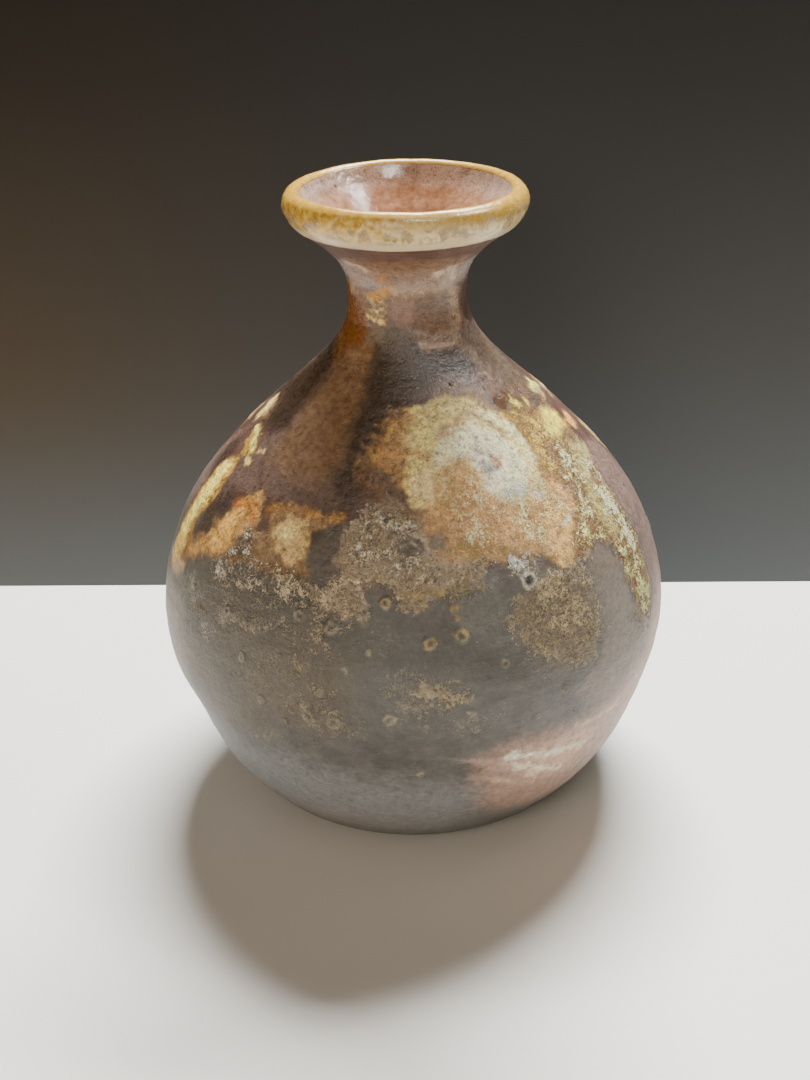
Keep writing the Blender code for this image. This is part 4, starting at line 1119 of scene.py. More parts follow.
def deposit(name, t0, t1, z0, z1, coarse=1):
    i0, i1 = int(round(math.radians(t0) / D_TH)), int(round(math.radians(t1) / D_TH))
    j0, j1 = int(round(s_of_z(z0) / D_S)), int(round(s_of_z(z1) / D_S))
    I = np.arange(i0, i1 + 1, coarse)
    J = np.arange(j0, j1 + 1, coarse)
    TH, S = np.meshgrid(I * D_TH, J * D_S)
    Z = z_of_s(S)
    t, f, p = layer(I * D_TH, z_of_s(J * D_S))
    base = relief_clay(TH, Z, p)
    ok_v = t > -0.16
    cell = ok_v[:-1, :-1] | ok_v[1:, :-1] | ok_v[:-1, 1:] | ok_v[1:, 1:]
    # no cells that meet only at a corner, and no crumbs
    for _ in range(6):
        a, b, c, d = cell[:-1, :-1], cell[1:, 1:], cell[1:, :-1], cell[:-1, 1:]
        bad1, bad2 = a & b & ~c & ~d, c & d & ~a & ~b
        if not (bad1.any() or bad2.any()):
            break
        cell[1:, :-1] |= bad1
        cell[:-1, :-1] |= bad2
    lab = np.zeros(cell.shape, int)
    n_lab = 0
    sizes = {}
    for y, x in zip(*np.nonzero(cell)):
        if lab[y, x]:
            continue
        n_lab += 1
        stack, size = [(y, x)], 0
        lab[y, x] = n_lab
        while stack:
            cy, cx = stack.pop()
            size += 1
            for ny, nx in ((cy + 1, cx), (cy - 1, cx), (cy, cx + 1), (cy, cx - 1)):
                if 0 <= ny < cell.shape[0] and 0 <= nx < cell.shape[1] and cell[ny, nx] and not lab[ny, nx]:
                    lab[ny, nx] = n_lab
                    stack.append((ny, nx))
        sizes[n_lab] = size
    for k, size in sizes.items():
        if size < 14:
            cell[lab == k] = False
    use = np.zeros(t.shape, bool)
    use[:-1, :-1] |= cell
    use[1:, :-1] |= cell
    use[:-1, 1:] |= cell
    use[1:, 1:] |= cell
    idx = -np.ones(t.shape, np.int64)
    idx[use] = np.arange(use.sum())
    n = int(use.sum())
    nr, nz = normal_rz(Z)
    R = outer_r(Z)
    top_d = (base + np.maximum(t, -0.22))[use]
    bot_d = (base - 0.45)[use]
    r_, z_, th_, nr_, nz_ = R[use], Z[use], TH[use], nr[use], nz[use]

    def pts(d):
        return place_n(r_, z_, th_, d, nr_, nz_)

    top, bot = pts(top_d), pts(bot_d)
    ys, xs = np.nonzero(cell)
    q = np.stack([idx[ys, xs], idx[ys, xs + 1], idx[ys + 1, xs + 1], idx[ys + 1, xs]], 1)
    faces = [q, q[:, ::-1] + n]
    # skirt
    pad = np.pad(cell, 1)
    sk = []
    for dy, dx, a, b in ((-1, 0, (0, 0), (0, 1)), (1, 0, (1, 1), (1, 0)), (0, -1, (1, 0), (0, 0)), (0, 1, (0, 1), (1, 1))):
        open_side = cell & ~pad[1 + dy:1 + dy + cell.shape[0], 1 + dx:1 + dx + cell.shape[1]]
        yy, xx = np.nonzero(open_side)
        va, vb = idx[yy + a[0], xx + a[1]], idx[yy + b[0], xx + b[1]]
        sk.append(np.stack([vb, va, va + n, vb + n], 1))
    faces.append(np.concatenate(sk))
    fields = {k: v[use] for k, v in f.items() if k in FIELDS}
    at = pack_fields(fields, n)
    for k in EXTRA:
        at[k] = f[k][use]
    at["zone"] = np.zeros(n)
    at["height"] = f["g"][use]
    # painted shade: the pin hole joins the dark field and the pit mask, which paint it near black
    hole = smooth(-0.25, 0.15, f["hole"][use])
    at["dark"] = np.maximum(at["dark"], hole)
    at["pit"] = hole
    attrs = {k: np.concatenate([v, v]) for k, v in at.items()}
    uu = (th_ - th_.min()) / max(np.ptp(th_), 1e-9)
    vv = S[use]
    vv = (vv - vv.min()) / max(np.ptp(vv), 1e-9)
    uv_top = np.stack([0.01 + 0.98 * uu, 0.01 + 0.90 * vv], 1)
    uv_bot = np.stack([0.01 + 0.98 * uu, 0.93 + 0.06 * vv], 1)
    vu = np.concatenate([uv_top, uv_bot])
    uv = np.concatenate([vu[fc].reshape(-1, 2) for fc in faces])
    return new_mesh(name, np.concatenate([top, bot]), faces, attrs, uv, 80.0)


def place_n(r, z, th, d, nr, nz):
    # the drift of the axis is read at the moved height, as on the clay rings, so that clay and ash stay together
    rr, zz = r + d * nr, z + d * nz
    return place(rr, zz, th)


for name, box, nodes, slot in (
        ("ash_pool", (-26, 52, 70.5, 92), ("front_ash_pool",), "glass_celadon"),
        ("ash_crust", (-26, 16, 50, 70.5), ("front_crust",), "glass_granular"),
        ("ash_drift", (16, 52, 38, 70.5), (), "glass_granular"),
        ("ash_run", (52, 94, 36, 90), ("right_ash_run",), "glass_gold"),
        ("ash_patch", (-70, -26, 50, 73.5), ("left_ash_patch",), "glass_gold"),
        ("ash_streak", (-98, -70, 44, 84), ("left_ash_streak",), "glass_gold"),
        ("ash_grains_front", (-26, 16, 22, 50), (), "glass_granular"),
        ("ash_grains_left", (-70, -26, 28, 50), (), "glass_granular"),
        ("ash_grains_right", (16, 52, 30, 38), (), "glass_granular"),
        ("ash_rear_right", (94, 180, 44, 88), (), "glass_gold"),
        ("ash_rear_left", (-180, -98, 40, 84), (), "glass_gold"),
        ("ash_throat", (-44, -12, 97, 105), (), "glass_gold")):
    ob = deposit(name, *box)
    pieces.append((ob, nodes, slot))

# =====================================================================
# material: one fired surface, steered by the masks
# =====================================================================
class Tree:
    def __init__(self, name):
        self.mat = bpy.data.materials.new(name)
        self.mat.use_nodes = True
        self.t = self.mat.node_tree
        self.t.nodes.clear()
        self.x = 0

    def node(self, kind, **props):
        n = self.t.nodes.new(kind)
        self.x += 40
        n.location = (self.x, 0)
        for k, v in props.items():
            setattr(n, k, v)
        return n

    def put(self, socket, value):
        if isinstance(value, bpy.types.NodeSocket):
            self.t.links.new(value, socket)
        elif value is not None:
            if isinstance(value, (tuple, list)) and len(value) == 3 and socket.type == "RGBA":
                value = (*value, 1.0)
            socket.default_value = value

    def math(self, op, a, b=None, c=None, clamp=False):
        n = self.node("ShaderNodeMath", operation=op, use_clamp=clamp)
        self.put(n.inputs[0], a)
        if b is not None:
            self.put(n.inputs[1], b)
        if c is not None:
            self.put(n.inputs[2], c)
        return n.outputs[0]

    def step(self, x, a, b, lo=0.0, hi=1.0):
        n = self.node("ShaderNodeMapRange", interpolation_type="SMOOTHSTEP")
        self.put(n.inputs["Value"], x)
        self.put(n.inputs["From Min"], a)
        self.put(n.inputs["From Max"], b)
        self.put(n.inputs["To Min"], lo)
        self.put(n.inputs["To Max"], hi)
        return n.outputs["Result"]

    def mix(self, fac, a, b, mode="MIX"):
        n = self.node("ShaderNodeMix", data_type="RGBA", blend_type=mode, clamp_factor=True)
        self.put(n.inputs["Factor"], fac)
        self.put(n.inputs[6], a)
        self.put(n.inputs[7], b)
        return n.outputs[2]

    def fmix(self, fac, a, b):
        n = self.node("ShaderNodeMix", data_type="FLOAT", clamp_factor=True)
        self.put(n.inputs[0], fac)
        self.put(n.inputs[2], a)
        self.put(n.inputs[3], b)
        return n.outputs[0]

    def attr(self, name):
        return self.node("ShaderNodeAttribute", attribute_name=name).outputs["Fac"]

    def noise(self, vec, scale, detail=3.0, rough=0.55, dist=0.0):
        n = self.node("ShaderNodeTexNoise")
        self.put(n.inputs["Vector"], vec)
        n.inputs["Scale"].default_value = scale
        n.inputs["Detail"].default_value = detail
        n.inputs["Roughness"].default_value = rough
        n.inputs["Distortion"].default_value = dist
        return n.outputs["Fac"]

    def voro(self, vec, scale, feature="F1", rnd=1.0):
        n = self.node("ShaderNodeTexVoronoi", feature=feature)
        self.put(n.inputs["Vector"], vec)
        n.inputs["Scale"].default_value = scale
        n.inputs["Randomness"].default_value = rnd
        return n.outputs["Distance"], n.outputs["Color"]

    def ramp(self, fac, stops):
        n = self.node("ShaderNodeValToRGB")
        self.put(n.inputs[0], fac)
        e = n.color_ramp.elements
        while len(e) < len(stops):
            e.new(0.5)
        for k, (pos, col) in zip(e, stops):
            k.position = pos
            k.color = (*col, 1.0)
        return n.outputs[0]


PALETTE = {
    # grey reduced body
    "grey0": (0.062, 0.058, 0.053), "grey1": (0.092, 0.087, 0.080), "grey2": (0.122, 0.115, 0.105), "grey3": (0.165, 0.150, 0.128),
    # painted light: a paler grey for the foot, standing in for the haze of light round the bottom
    "grey_foot_painted_haze": (0.150, 0.146, 0.140),
    # red-brown shoulder
    "red0": (0.055, 0.027, 0.019), "red1": (0.098, 0.050, 0.036), "red2": (0.150, 0.086, 0.066),
    "sand0": (0.100, 0.055, 0.040), "sand1": (0.180, 0.108, 0.082), "sand2": (0.310, 0.205, 0.155),
    "slow0": (0.135, 0.118, 0.110), "slow1": (0.190, 0.165, 0.150),
    "dark0": (0.022, 0.013, 0.010), "dark1": (0.062, 0.036, 0.026), "dlow0": (0.040, 0.038, 0.036), "dlow1": (0.075, 0.068, 0.060),
    "amb0": (0.100, 0.034, 0.010), "amb1": (0.220, 0.085, 0.018), "amb2": (0.420, 0.200, 0.045),
    "fl0": (0.190, 0.105, 0.085), "fl1": (0.310, 0.165, 0.120), "fl2": (0.400, 0.265, 0.205), "flline": (0.540, 0.420, 0.340),
    "mist_reflection0": (0.120, 0.080, 0.065), "mist_reflection1": (0.340, 0.265, 0.235), "mist_reflection2": (0.500, 0.420, 0.380),
    # dust, grains
    "dust0": (0.220, 0.180, 0.125), "dust1": (0.400, 0.340, 0.260), "grain_bed": (0.120, 0.105, 0.080),
    "gr0": (0.170, 0.125, 0.070), "gr1": (0.340, 0.265, 0.165), "gr2": (0.560, 0.480, 0.350),
    # golden glass
    "gold0": (0.105, 0.060, 0.026), "gold1": (0.230, 0.140, 0.055), "gold2": (0.370, 0.250, 0.100), "gold3": (0.500, 0.380, 0.175),
    "gold4": (0.620, 0.520, 0.300), "fringe": (0.095, 0.056, 0.030),
    "cr0": (0.420, 0.290, 0.100), "cr1": (0.520, 0.430, 0.220), "cr2": (0.500, 0.470, 0.300), "cr3": (0.420, 0.440, 0.330),
    "bl0": (0.190, 0.200, 0.190), "bl1": (0.330, 0.335, 0.290), "arc0": (0.230, 0.100, 0.020), "arc1": (0.520, 0.330, 0.080),
    # crust: dark bedded and golden bedded
    "ck0": (0.040, 0.028, 0.020), "ck1": (0.105, 0.075, 0.048), "ck2": (0.230, 0.175, 0.110), "ck3": (0.420, 0.345, 0.240),
    "ck4": (0.680, 0.610, 0.500),
    "cd0": (0.090, 0.048, 0.016), "cd1": (0.230, 0.130, 0.040), "cd2": (0.400, 0.260, 0.090), "cd3": (0.600, 0.450, 0.210),
    "cd4": (0.780, 0.690, 0.480), "white": (0.760, 0.720, 0.650),
    # mouth
    "ro0": (0.270, 0.140, 0.078), "ro1": (0.400, 0.205, 0.118), "ro2": (0.530, 0.310, 0.185), "ro3": (0.520, 0.440, 0.400),
    # lip
    "li0": (0.520, 0.380, 0.170), "li1": (0.580, 0.430, 0.200), "li2": (0.660, 0.550, 0.300), "li3": (0.640, 0.580, 0.380),
    "lg0": (0.300, 0.145, 0.016), "lg1": (0.520, 0.290, 0.030), "lg2": (0.680, 0.470, 0.100),
    "lm0": (0.200, 0.125, 0.050), "lm1": (0.360, 0.250, 0.120), "lu0": (0.600, 0.500, 0.280), "lu1": (0.520, 0.420, 0.340),
}


def C(key):
    return PALETTE[key]


def fired_surface(name):
    T = Tree(name)
    m, step, mix, noise = T.math, T.step, T.mix, T.noise
    co = T.node("ShaderNodeTexCoord").outputs["Object"]
    mm = T.node("ShaderNodeVectorMath", operation="SCALE")
    T.put(mm.inputs[0], co)
    mm.inputs["Scale"].default_value = 1000.0
    P = mm.outputs[0]                       # millimetres
    flat = T.node("ShaderNodeVectorMath", operation="MULTIPLY")
    T.put(flat.inputs[0], P)
    flat.inputs[1].default_value = (0.16, 0.16, 1.0)
    L = flat.outputs[0]                     # stretched round the wheel
    A = {k: T.attr(k) for k in list(FIELDS) + EXTRA + ["zone", "height", "pit"]}
    gh = A["height"]

    n_big = noise(P, 0.045, 2, 0.5)
    n_mid = noise(P, 0.20, 4, 0.6)
    n_mid2 = noise(P, 0.33, 4, 0.62, 1.2)
    n_sml = noise(P, 0.85, 4, 0.62)
    n_fin = noise(P, 2.4, 3, 0.62)
    n_dst = noise(P, 6.5, 2, 0.6)
    n_wrm = noise(P, 1.5, 3, 0.6, 1.6)
    n_str = noise(L, 0.9, 4, 0.6)
    n_st2 = noise(L, 3.4, 3, 0.6)

    def add(*xs):
        out = xs[0]
        for x in xs[1:]:
            out = m("ADD", out, x)
        return out

    def k(x, f):
        return m("MULTIPLY", x, f)

    def c0(x):
        return m("SUBTRACT", x, 0.5)

    def inv(x):
        return m("SUBTRACT", 1.0, x)

    def edge(mask, amp_s=0.25, amp_f=0.16, w=0.05, at=0.5, amp_m=0.0):
        """Mask with a ragged rim: signed value and its step."""
        b = add(mask, k(c0(n_sml), amp_s * 2), k(c0(n_fin), amp_f * 2))
        if amp_m:
            b = add(b, k(c0(n_mid2), amp_m * 2))
        return step(b, at - w, at + w), b

    sep = T.node("ShaderNodeSeparateXYZ")
    T.put(sep.inputs[0], P)
    xc, zc = sep.outputs[0], sep.outputs[2]

    # ---- bare clay
    redz = step(add(zc, k(c0(n_mid), 26.0), k(c0(n_sml), 6.0)), 54.0, 71.0)
    gt = add(k(n_str, 0.22), k(n_mid, 0.48), k(n_sml, 0.30))
    grey = T.ramp(gt, [(0.34, C("grey0")), (0.46, C("grey1")), (0.56, C("grey2")), (0.70, C("grey3"))])
    # painted light: the grey turns paler towards the foot, standing in for the haze of light round the bottom
    foot_painted_haze = step(zc, 26.0, 8.0)
    grey = mix(k(foot_painted_haze, 0.6), grey, C("grey_foot_painted_haze"))
    rt = add(k(n_mid, 0.45), k(n_str, 0.20), k(n_sml, 0.35))
    red = T.ramp(rt, [(0.34, C("red0")), (0.50, C("red1")), (0.66, C("red2"))])
    col = mix(redz, grey, red)
    # sandy pale flashes
    pale, _ = edge(A["pale"], 0.30, 0.22, 0.24, 0.5, 0.25)
    sand = T.ramp(add(k(n_sml, 0.35), k(n_fin, 0.35), k(n_wrm, 0.30)),
                  [(0.38, C("sand0")), (0.50, C("sand1")), (0.62, C("sand2"))])
    sand_low = T.ramp(n_sml, [(0.38, C("slow0")), (0.62, C("slow1"))])
    col = mix(k(pale, 0.85), col, mix(redz, sand_low, sand))
    # dark brown skin
    dark, _ = edge(A["dark"], 0.26, 0.16, 0.24, 0.5, 0.25)
    brown = T.ramp(n_sml, [(0.36, C("dark0")), (0.64, C("dark1"))])
    brown_low = T.ramp(n_sml, [(0.36, C("dlow0")), (0.64, C("dlow1"))])
    col = mix(k(dark, 0.88), col, mix(redz, brown_low, brown))
    # amber stain
    amb, _ = edge(A["amber"], 0.20, 0.14, 0.34, 0.5, 0.15)
    col = mix(k(amb, 0.85), col, T.ramp(n_sml, [(0.34, C("amb0")), (0.52, C("amb1")), (0.70, C("amb2"))]))
    # rose flash with pale tongues
    fl, _ = edge(A["flash"], 0.18, 0.06, 0.45, 0.5, 0.2)
    col = mix(k(fl, 0.75), col, T.ramp(add(k(n_str, 0.6), k(n_mid, 0.4)),
                                       [(0.36, C("fl0")), (0.54, C("fl1")), (0.68, C("fl2"))]))
    ln, _ = edge(A["line"], 0.26, 0.10, 0.42)
    col = mix(k(ln, 0.75), col, C("flline"))
    # lilac band, broken by pores; its pale sheen is a painted reflection of the lit table in front
    mist_reflection_on, _ = edge(A["mist_reflection"], 0.14, 0.22, 0.30)
    col = mix(k(mist_reflection_on, 0.72), col, T.ramp(n_fin, [(0.34, C("mist_reflection0")), (0.44, C("mist_reflection1")), (0.62, C("mist_reflection2"))]))

    # ---- dust: fine beige grains, denser in drifts
    tex = add(k(n_wrm, 0.5), k(n_fin, 0.5))
    tex2 = add(k(gh, 0.32), k(n_wrm, 0.28), k(n_fin, 0.40))
    dust_b = add(A["dust"], k(c0(n_mid2), 0.9), k(c0(n_mid), 0.5))
    dust_d = step(dust_b, 0.25, 1.05)
    dust_on = step(add(tex, k(dust_d, 0.20)), 0.655, 0.715)
    col = mix(k(dust_on, 0.70), col, T.ramp(n_sml, [(0.38, C("dust0")), (0.62, C("dust1"))]))

    # ---- grains
    gr_b = add(A["grain"], k(c0(n_mid2), 0.7), k(c0(n_sml), 0.4))
    gr_d = step(gr_b, 0.15, 0.95)
    gr_on = step(add(tex2, k(gr_d, 0.36)), 0.70, 0.78)
    col = mix(k(gr_d, 0.35), col, C("grain_bed"))
    col = mix(gr_on, col, T.ramp(add(k(n_fin, 0.5), k(gh, 0.5)), [(0.36, C("gr0")), (0.54, C("gr1")), (0.74, C("gr2"))]))

    # ---- golden glass
    gold_on, gold_b = edge(A["gold"], 0.30, 0.24, 0.055, 0.5, 0.16)
    heart = step(gold_b, 0.50, 1.05)
    gtone = add(k(n_sml, 0.42), k(n_wrm, 0.22), k(n_mid2, 0.30), k(heart, 0.20))
    gold = T.ramp(gtone, [(0.38, C("gold0")), (0.48, C("gold1")), (0.58, C("gold2")), (0.68, C("gold3")), (0.80, C("gold4"))])
    col = mix(gold_on, col, gold)
    fringe = m("MULTIPLY", step(gold_b, 0.34, 0.47), inv(step(gold_b, 0.52, 0.66)))
    col = mix(k(fringe, 0.60), col, C("fringe"))

    # ---- thick pale glass
    cream_on, cream_b = edge(A["cream"], 0.26, 0.14, 0.20, 0.5, 0.22)
    ct = add(k(n_mid2, 0.55), k(n_sml, 0.45))
    cream = T.ramp(ct, [(0.38, C("cr0")), (0.48, C("cr1")), (0.57, C("cr2")), (0.68, C("cr3"))])
    col = mix(k(cream_on, 0.92), col, cream)
    blue_on, _ = edge(A["blue"], 0.26, 0.16, 0.26, 0.5, 0.2)
    col = mix(k(blue_on, 0.85), col, T.ramp(n_sml, [(0.40, C("bl0")), (0.60, C("bl1"))]))
    arc_on, _ = edge(A["arc"], 0.34, 0.26, 0.16)
    col = mix(k(m("MULTIPLY", arc_on, gold_on), 0.75), col, T.ramp(n_fin, [(0.4, C("arc0")), (0.6, C("arc1"))]))

    # ---- crust, thinning to single grains at the rim
    cr_b = add(A["crust"], k(c0(n_mid2), 0.55), k(c0(n_sml), 0.30))
    cr_d = step(cr_b, 0.10, 0.92)
    crust_on = step(add(tex2, k(cr_d, 0.72)), 0.66, 0.76)
    cg = add(k(gh, 0.50), k(n_fin, 0.34), k(n_wrm, 0.30))
    crust_dk = T.ramp(cg, [(0.34, C("ck0")), (0.46, C("ck1")), (0.56, C("ck2")), (0.68, C("ck3")), (0.84, C("ck4"))])
    crust_gd = T.ramp(cg, [(0.34, C("cd0")), (0.46, C("cd1")), (0.56, C("cd2")), (0.68, C("cd3")), (0.84, C("cd4"))])
    gold_soft = step(add(A["gold"], k(c0(n_mid2), 0.8)), 0.30, 0.80)
    col = mix(crust_on, col, mix(gold_soft, crust_dk, crust_gd))
    white_on, _ = edge(A["white"], 0.30, 0.24, 0.20)
    col = mix(k(m("MULTIPLY", white_on, step(cg, 0.50, 0.66)), 0.80), col, C("white"))
    # drawn colours over the whole, with the finest mottling
    n_v1 = noise(P, 1.05, 2, 0.5, 0.9)
    n_v2 = noise(P, 2.3, 2, 0.5, 0.7)
    vein1 = m("SUBTRACT", 1.0, k(m("ABSOLUTE", c0(n_v1)), 9.0), clamp=True)
    vein2 = m("SUBTRACT", 1.0, k(m("ABSOLUTE", c0(n_v2)), 9.0), clamp=True)
    u_fin = step(n_fin, 0.37, 0.63)
    coral = add(k(vein1, 0.42), k(vein2, 0.28), k(u_fin, 0.30))
    calm = add(1.0, k(c0(n_fin), 0.8), k(c0(n_sml), 1.0), k(c0(n_dst), 0.4), k(c0(n_st2), 0.7))
    lively = add(1.0, k(c0(n_fin), 2.2), k(c0(n_sml), 2.4), k(c0(n_dst), 0.8))
    tone = T.fmix(gold_on, calm, lively)
    tone = T.fmix(A["grt"], tone, add(0.46, k(coral, 1.0), k(c0(n_sml), 1.4)))
    tone = m("MAXIMUM", tone, 0.25)
    drawn = T.node("ShaderNodeCombineXYZ")
    for i, key in enumerate(("pr", "pg", "pb")):
        T.put(drawn.inputs[i], m("MULTIPLY", A[key], tone))
    under = T.node("ShaderNodeVectorMath", operation="SCALE")
    T.put(under.inputs[0], col)
    T.put(under.inputs["Scale"], inv(A["cov"]))
    both = T.node("ShaderNodeVectorMath", operation="ADD")
    T.put(both.inputs[0], under.outputs[0])
    T.put(both.inputs[1], drawn.outputs[0])
    col = both.outputs[0]
    grains = m("MULTIPLY", step(add(coral, A["den"]), 0.985, 1.10), step(A["den"], 0.0, 0.04))
    gtone = add(0.62, k(coral, 0.55), k(c0(n_dst), 1.2))
    gcol = T.node("ShaderNodeCombineXYZ")
    for i, key in enumerate(("qr", "qg", "qb")):
        T.put(gcol.inputs[i], m("MULTIPLY", A[key], gtone))
    col = mix(k(grains, 0.92), col, gcol.outputs[0])
    # painted shade: darker in the gaps between grains of the gritty ash
    gap_painted_shade = m("MULTIPLY", m("MULTIPLY", A["grt"], step(coral, 0.30, 0.10)), 0.32)
    col = mix(gap_painted_shade, col, (0.030, 0.022, 0.014))
    # painted shade: near black inside the pin hole
    col = mix(A["pit"], col, (0.012, 0.010, 0.010))

    # ---- inside of the mouth
    rosy = T.ramp(add(k(n_sml, 0.45), k(n_mid, 0.55)), [(0.38, C("ro0")), (0.50, C("ro1")), (0.62, C("ro2"))])
    # the mouth turns paler lilac towards its rim: partly a lilac bloom in the glass, partly painted sheen
    lilac = step(add(zc, k(c0(n_mid), 5.0)), 115.8, 119.2)
    rosy = mix(k(lilac, 0.62), rosy, T.ramp(n_fin, [(0.36, C("ro0")), (0.5, C("ro3"))]))
    # painted shade: the pits in the mouth are darkened
    rosy = mix(k(gh, 0.8), rosy, (0.05, 0.03, 0.025))
    in_mouth = m("MULTIPLY", step(A["zone"], 0.30, 0.45), inv(step(add(A["zone"], k(c0(n_sml), 0.5)), 0.62, 0.82)))
    col = mix(in_mouth, col, rosy)

    # ---- lip glass
    lip = T.ramp(add(k(n_mid2, 0.5), k(n_sml, 0.5)), [(0.36, C("li0")), (0.48, C("li1")), (0.58, C("li2")), (0.70, C("li3"))])
    left = step(add(xc, k(c0(n_mid), 60.0), k(c0(n_sml), 30.0)), 1.0, -11.0)
    right = step(add(xc, k(c0(n_mid2), 50.0)), 5.0, 14.0)
    floor_l = T.fmix(left, 118.6, 116.2)
    high = step(m("SUBTRACT", add(zc, k(c0(n_sml), 12.0), k(c0(n_mid2), 8.0)), floor_l), -0.3, 0.7)
    goldlip = T.ramp(add(k(n_sml, 0.6), k(n_mid2, 0.4)), [(0.38, C("lg0")), (0.48, C("lg1")), (0.60, C("lg2"))])
    lip = mix(k(m("MULTIPLY", m("MAXIMUM", left, m("MAXIMUM", k(right, 0.95), 0.50)), high), 0.95), lip, goldlip)
    topz = step(add(zc, k(c0(n_mid), 1.6)), 120.2, 121.2)
    lip = mix(k(topz, 0.6), lip, C("lg1"))
    waist = m("MULTIPLY", step(zc, 115.4, 116.4), step(zc, 119.8, 118.2))
    mott = m("MULTIPLY", waist, step(noise(P, 0.42, 3, 0.6, 0.6), 0.475, 0.55))
    lip = mix(k(mott, 0.75), lip, T.ramp(n_sml, [(0.4, C("lm0")), (0.6, C("lm1"))]))
    under = step(add(zc, k(c0(n_sml), 2.0)), 116.6, 115.4)
    lip = mix(k(under, 0.7), lip, T.ramp(n_mid2, [(0.42, C("lu0")), (0.58, C("lu1"))]))
    in_lip = step(add(A["zone"], k(c0(n_sml), 0.3)), 0.66, 0.86)
    is_foot = m("MULTIPLY", m("COMPARE", A["zone"], 0.9, 0.04), step(zc, 10.0, 5.0))
    in_lip = m("MULTIPLY", in_lip, step(zc, 60.0, 80.0))
    col = mix(in_lip, col, lip)
    col = mix(is_foot, col, T.ramp(n_sml, [(0.35, (0.120, 0.080, 0.058)), (0.65, (0.230, 0.160, 0.120))]))

    # pores on the wall, painted darker for the shade inside them
    pore = m("MULTIPLY", step(n_dst, 0.39, 0.33), m("MULTIPLY", step(zc, 20.0, 34.0), step(zc, 96.0, 70.0)))
    col = mix(k(pore, 0.30), col, (0.030, 0.022, 0.018))

    # ---- roughness
    rgh = T.fmix(redz, m("MULTIPLY_ADD", n_sml, 0.20, 0.34), m("MULTIPLY_ADD", n_sml, 0.22, 0.22))
    rgh = T.fmix(k(dark, 0.8), rgh, m("MULTIPLY_ADD", n_fin, 0.22, 0.14))
    rgh = T.fmix(k(pale, 0.8), rgh, m("MULTIPLY_ADD", n_fin, 0.24, 0.26))
    rgh = T.fmix(mist_reflection_on, rgh, 0.22)
    rgh = T.fmix(gold_on, rgh, m("MULTIPLY_ADD", n_fin, 0.30, 0.20))
    rgh = T.fmix(cream_on, rgh, m("MULTIPLY_ADD", n_fin, 0.20, 0.20))
    rgh = T.fmix(m("MAXIMUM", crust_on, gr_on), rgh, m("MULTIPLY_ADD", n_fin, 0.50, 0.18))
    glossy = m("MULTIPLY", step(zc, 76.0, 88.0), inv(A["grt"]))
    upper = step(zc, 34.0, 68.0)
    skin = T.fmix(glossy, T.fmix(upper, 0.48, 0.33), 0.28)
    rgh = T.fmix(A["cov"], rgh, add(skin, m("MULTIPLY", c0(n_sml), T.fmix(upper, 0.12, 0.50)), k(c0(n_dst), 0.3)))
    rgh = T.fmix(m("MAXIMUM", k(A["grt"], 0.7), grains), rgh, add(0.24, k(c0(n_dst), 0.8)))
    rgh = T.fmix(in_mouth, rgh, m("MULTIPLY_ADD", n_fin, 0.10, 0.07))
    rgh = T.fmix(in_lip, rgh, m("MULTIPLY_ADD", n_fin, 0.16, 0.12))
    rgh = T.fmix(is_foot, rgh, 0.75)

    # ---- fine relief (millimetres, then metres)
    h = add(k(c0(n_fin), 0.11), k(c0(n_st2), 0.07), k(c0(n_sml), 0.26), k(c0(n_dst), 0.03))
    ash = m("MAXIMUM", m("MAXIMUM", crust_on, gr_on), k(dust_on, 0.5))
    ash = m("MULTIPLY", ash, inv(k(A["cov"], 0.8)))
    ash = m("MAXIMUM", ash, m("MAXIMUM", k(A["grt"], 0.8), grains))
    h = add(h, m("MULTIPLY", ash, add(k(coral, 0.13), k(c0(n_fin), 0.30))))
    h = add(h, k(grains, 0.05))
    h = add(h, m("MULTIPLY", gold_on, add(k(c0(n_fin), 0.12), k(c0(n_wrm), 0.16))))
    h = m("SUBTRACT", h, k(pore, 0.04))
    h = m("MULTIPLY", h, inv(k(m("MAXIMUM", in_lip, in_mouth), 0.66)))
    even = m("MULTIPLY", T.fmix(step(zc, 10.0, 36.0), 0.3, 1.0), T.fmix(step(zc, 74.0, 88.0), 1.0, 0.7))
    h = m("MULTIPLY", h, m("MAXIMUM", even, A["grt"]))
    h = k(h, 0.001)
    bump = T.node("ShaderNodeBump")
    bump.inputs["Strength"].default_value = 1.0
    bump.inputs["Distance"].default_value = 1.0
    T.put(bump.inputs["Height"], h)

    bsdf = T.node("ShaderNodeBsdfPrincipled")
    T.put(bsdf.inputs["Base Color"], col)
    T.put(bsdf.inputs["Roughness"], rgh)
    T.put(bsdf.inputs["Normal"], bump.outputs[0])
    bsdf.inputs["IOR"].default_value = 1.52
    out = T.node("ShaderNodeOutputMaterial")
    T.put(out.inputs["Surface"], bsdf.outputs[0])
    return T.mat


stone = fired_surface("fired_stoneware")
for ob, nodes, slot in pieces:
    ob.data.materials.clear()
    ob.data.materials.append(stone)
    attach(ob, "root")
    if nodes:
        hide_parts(*nodes)

# =====================================================================
# stage
# =====================================================================
def plain(name, colour, rough, vary=0.03):
    T = Tree(name)
    co = T.node("ShaderNodeTexCoord").outputs["Object"]
    n = T.noise(co, 9.0, 4, 0.6)
    c = T.mix(T.math("MULTIPLY", n, 1.0), tuple(k * (1 - vary) for k in colour), tuple(min(k * (1 + vary), 1) for k in colour))
    b = T.node("ShaderNodeBsdfPrincipled")
    T.put(b.inputs["Base Color"], c)
    b.inputs["Roughness"].default_value = rough
    return T, b


def sheet(name, corners_m):
    me = bpy.data.meshes.new(name)
    me.from_pydata(corners_m, [], [(0, 1, 2, 3)])
    ob = bpy.data.objects.new(name, me)
    bpy.context.scene.collection.objects.link(ob)
    return ob


EDGE_Y = 0.076
SKEW = 0.03                      # the card stands a little out of square


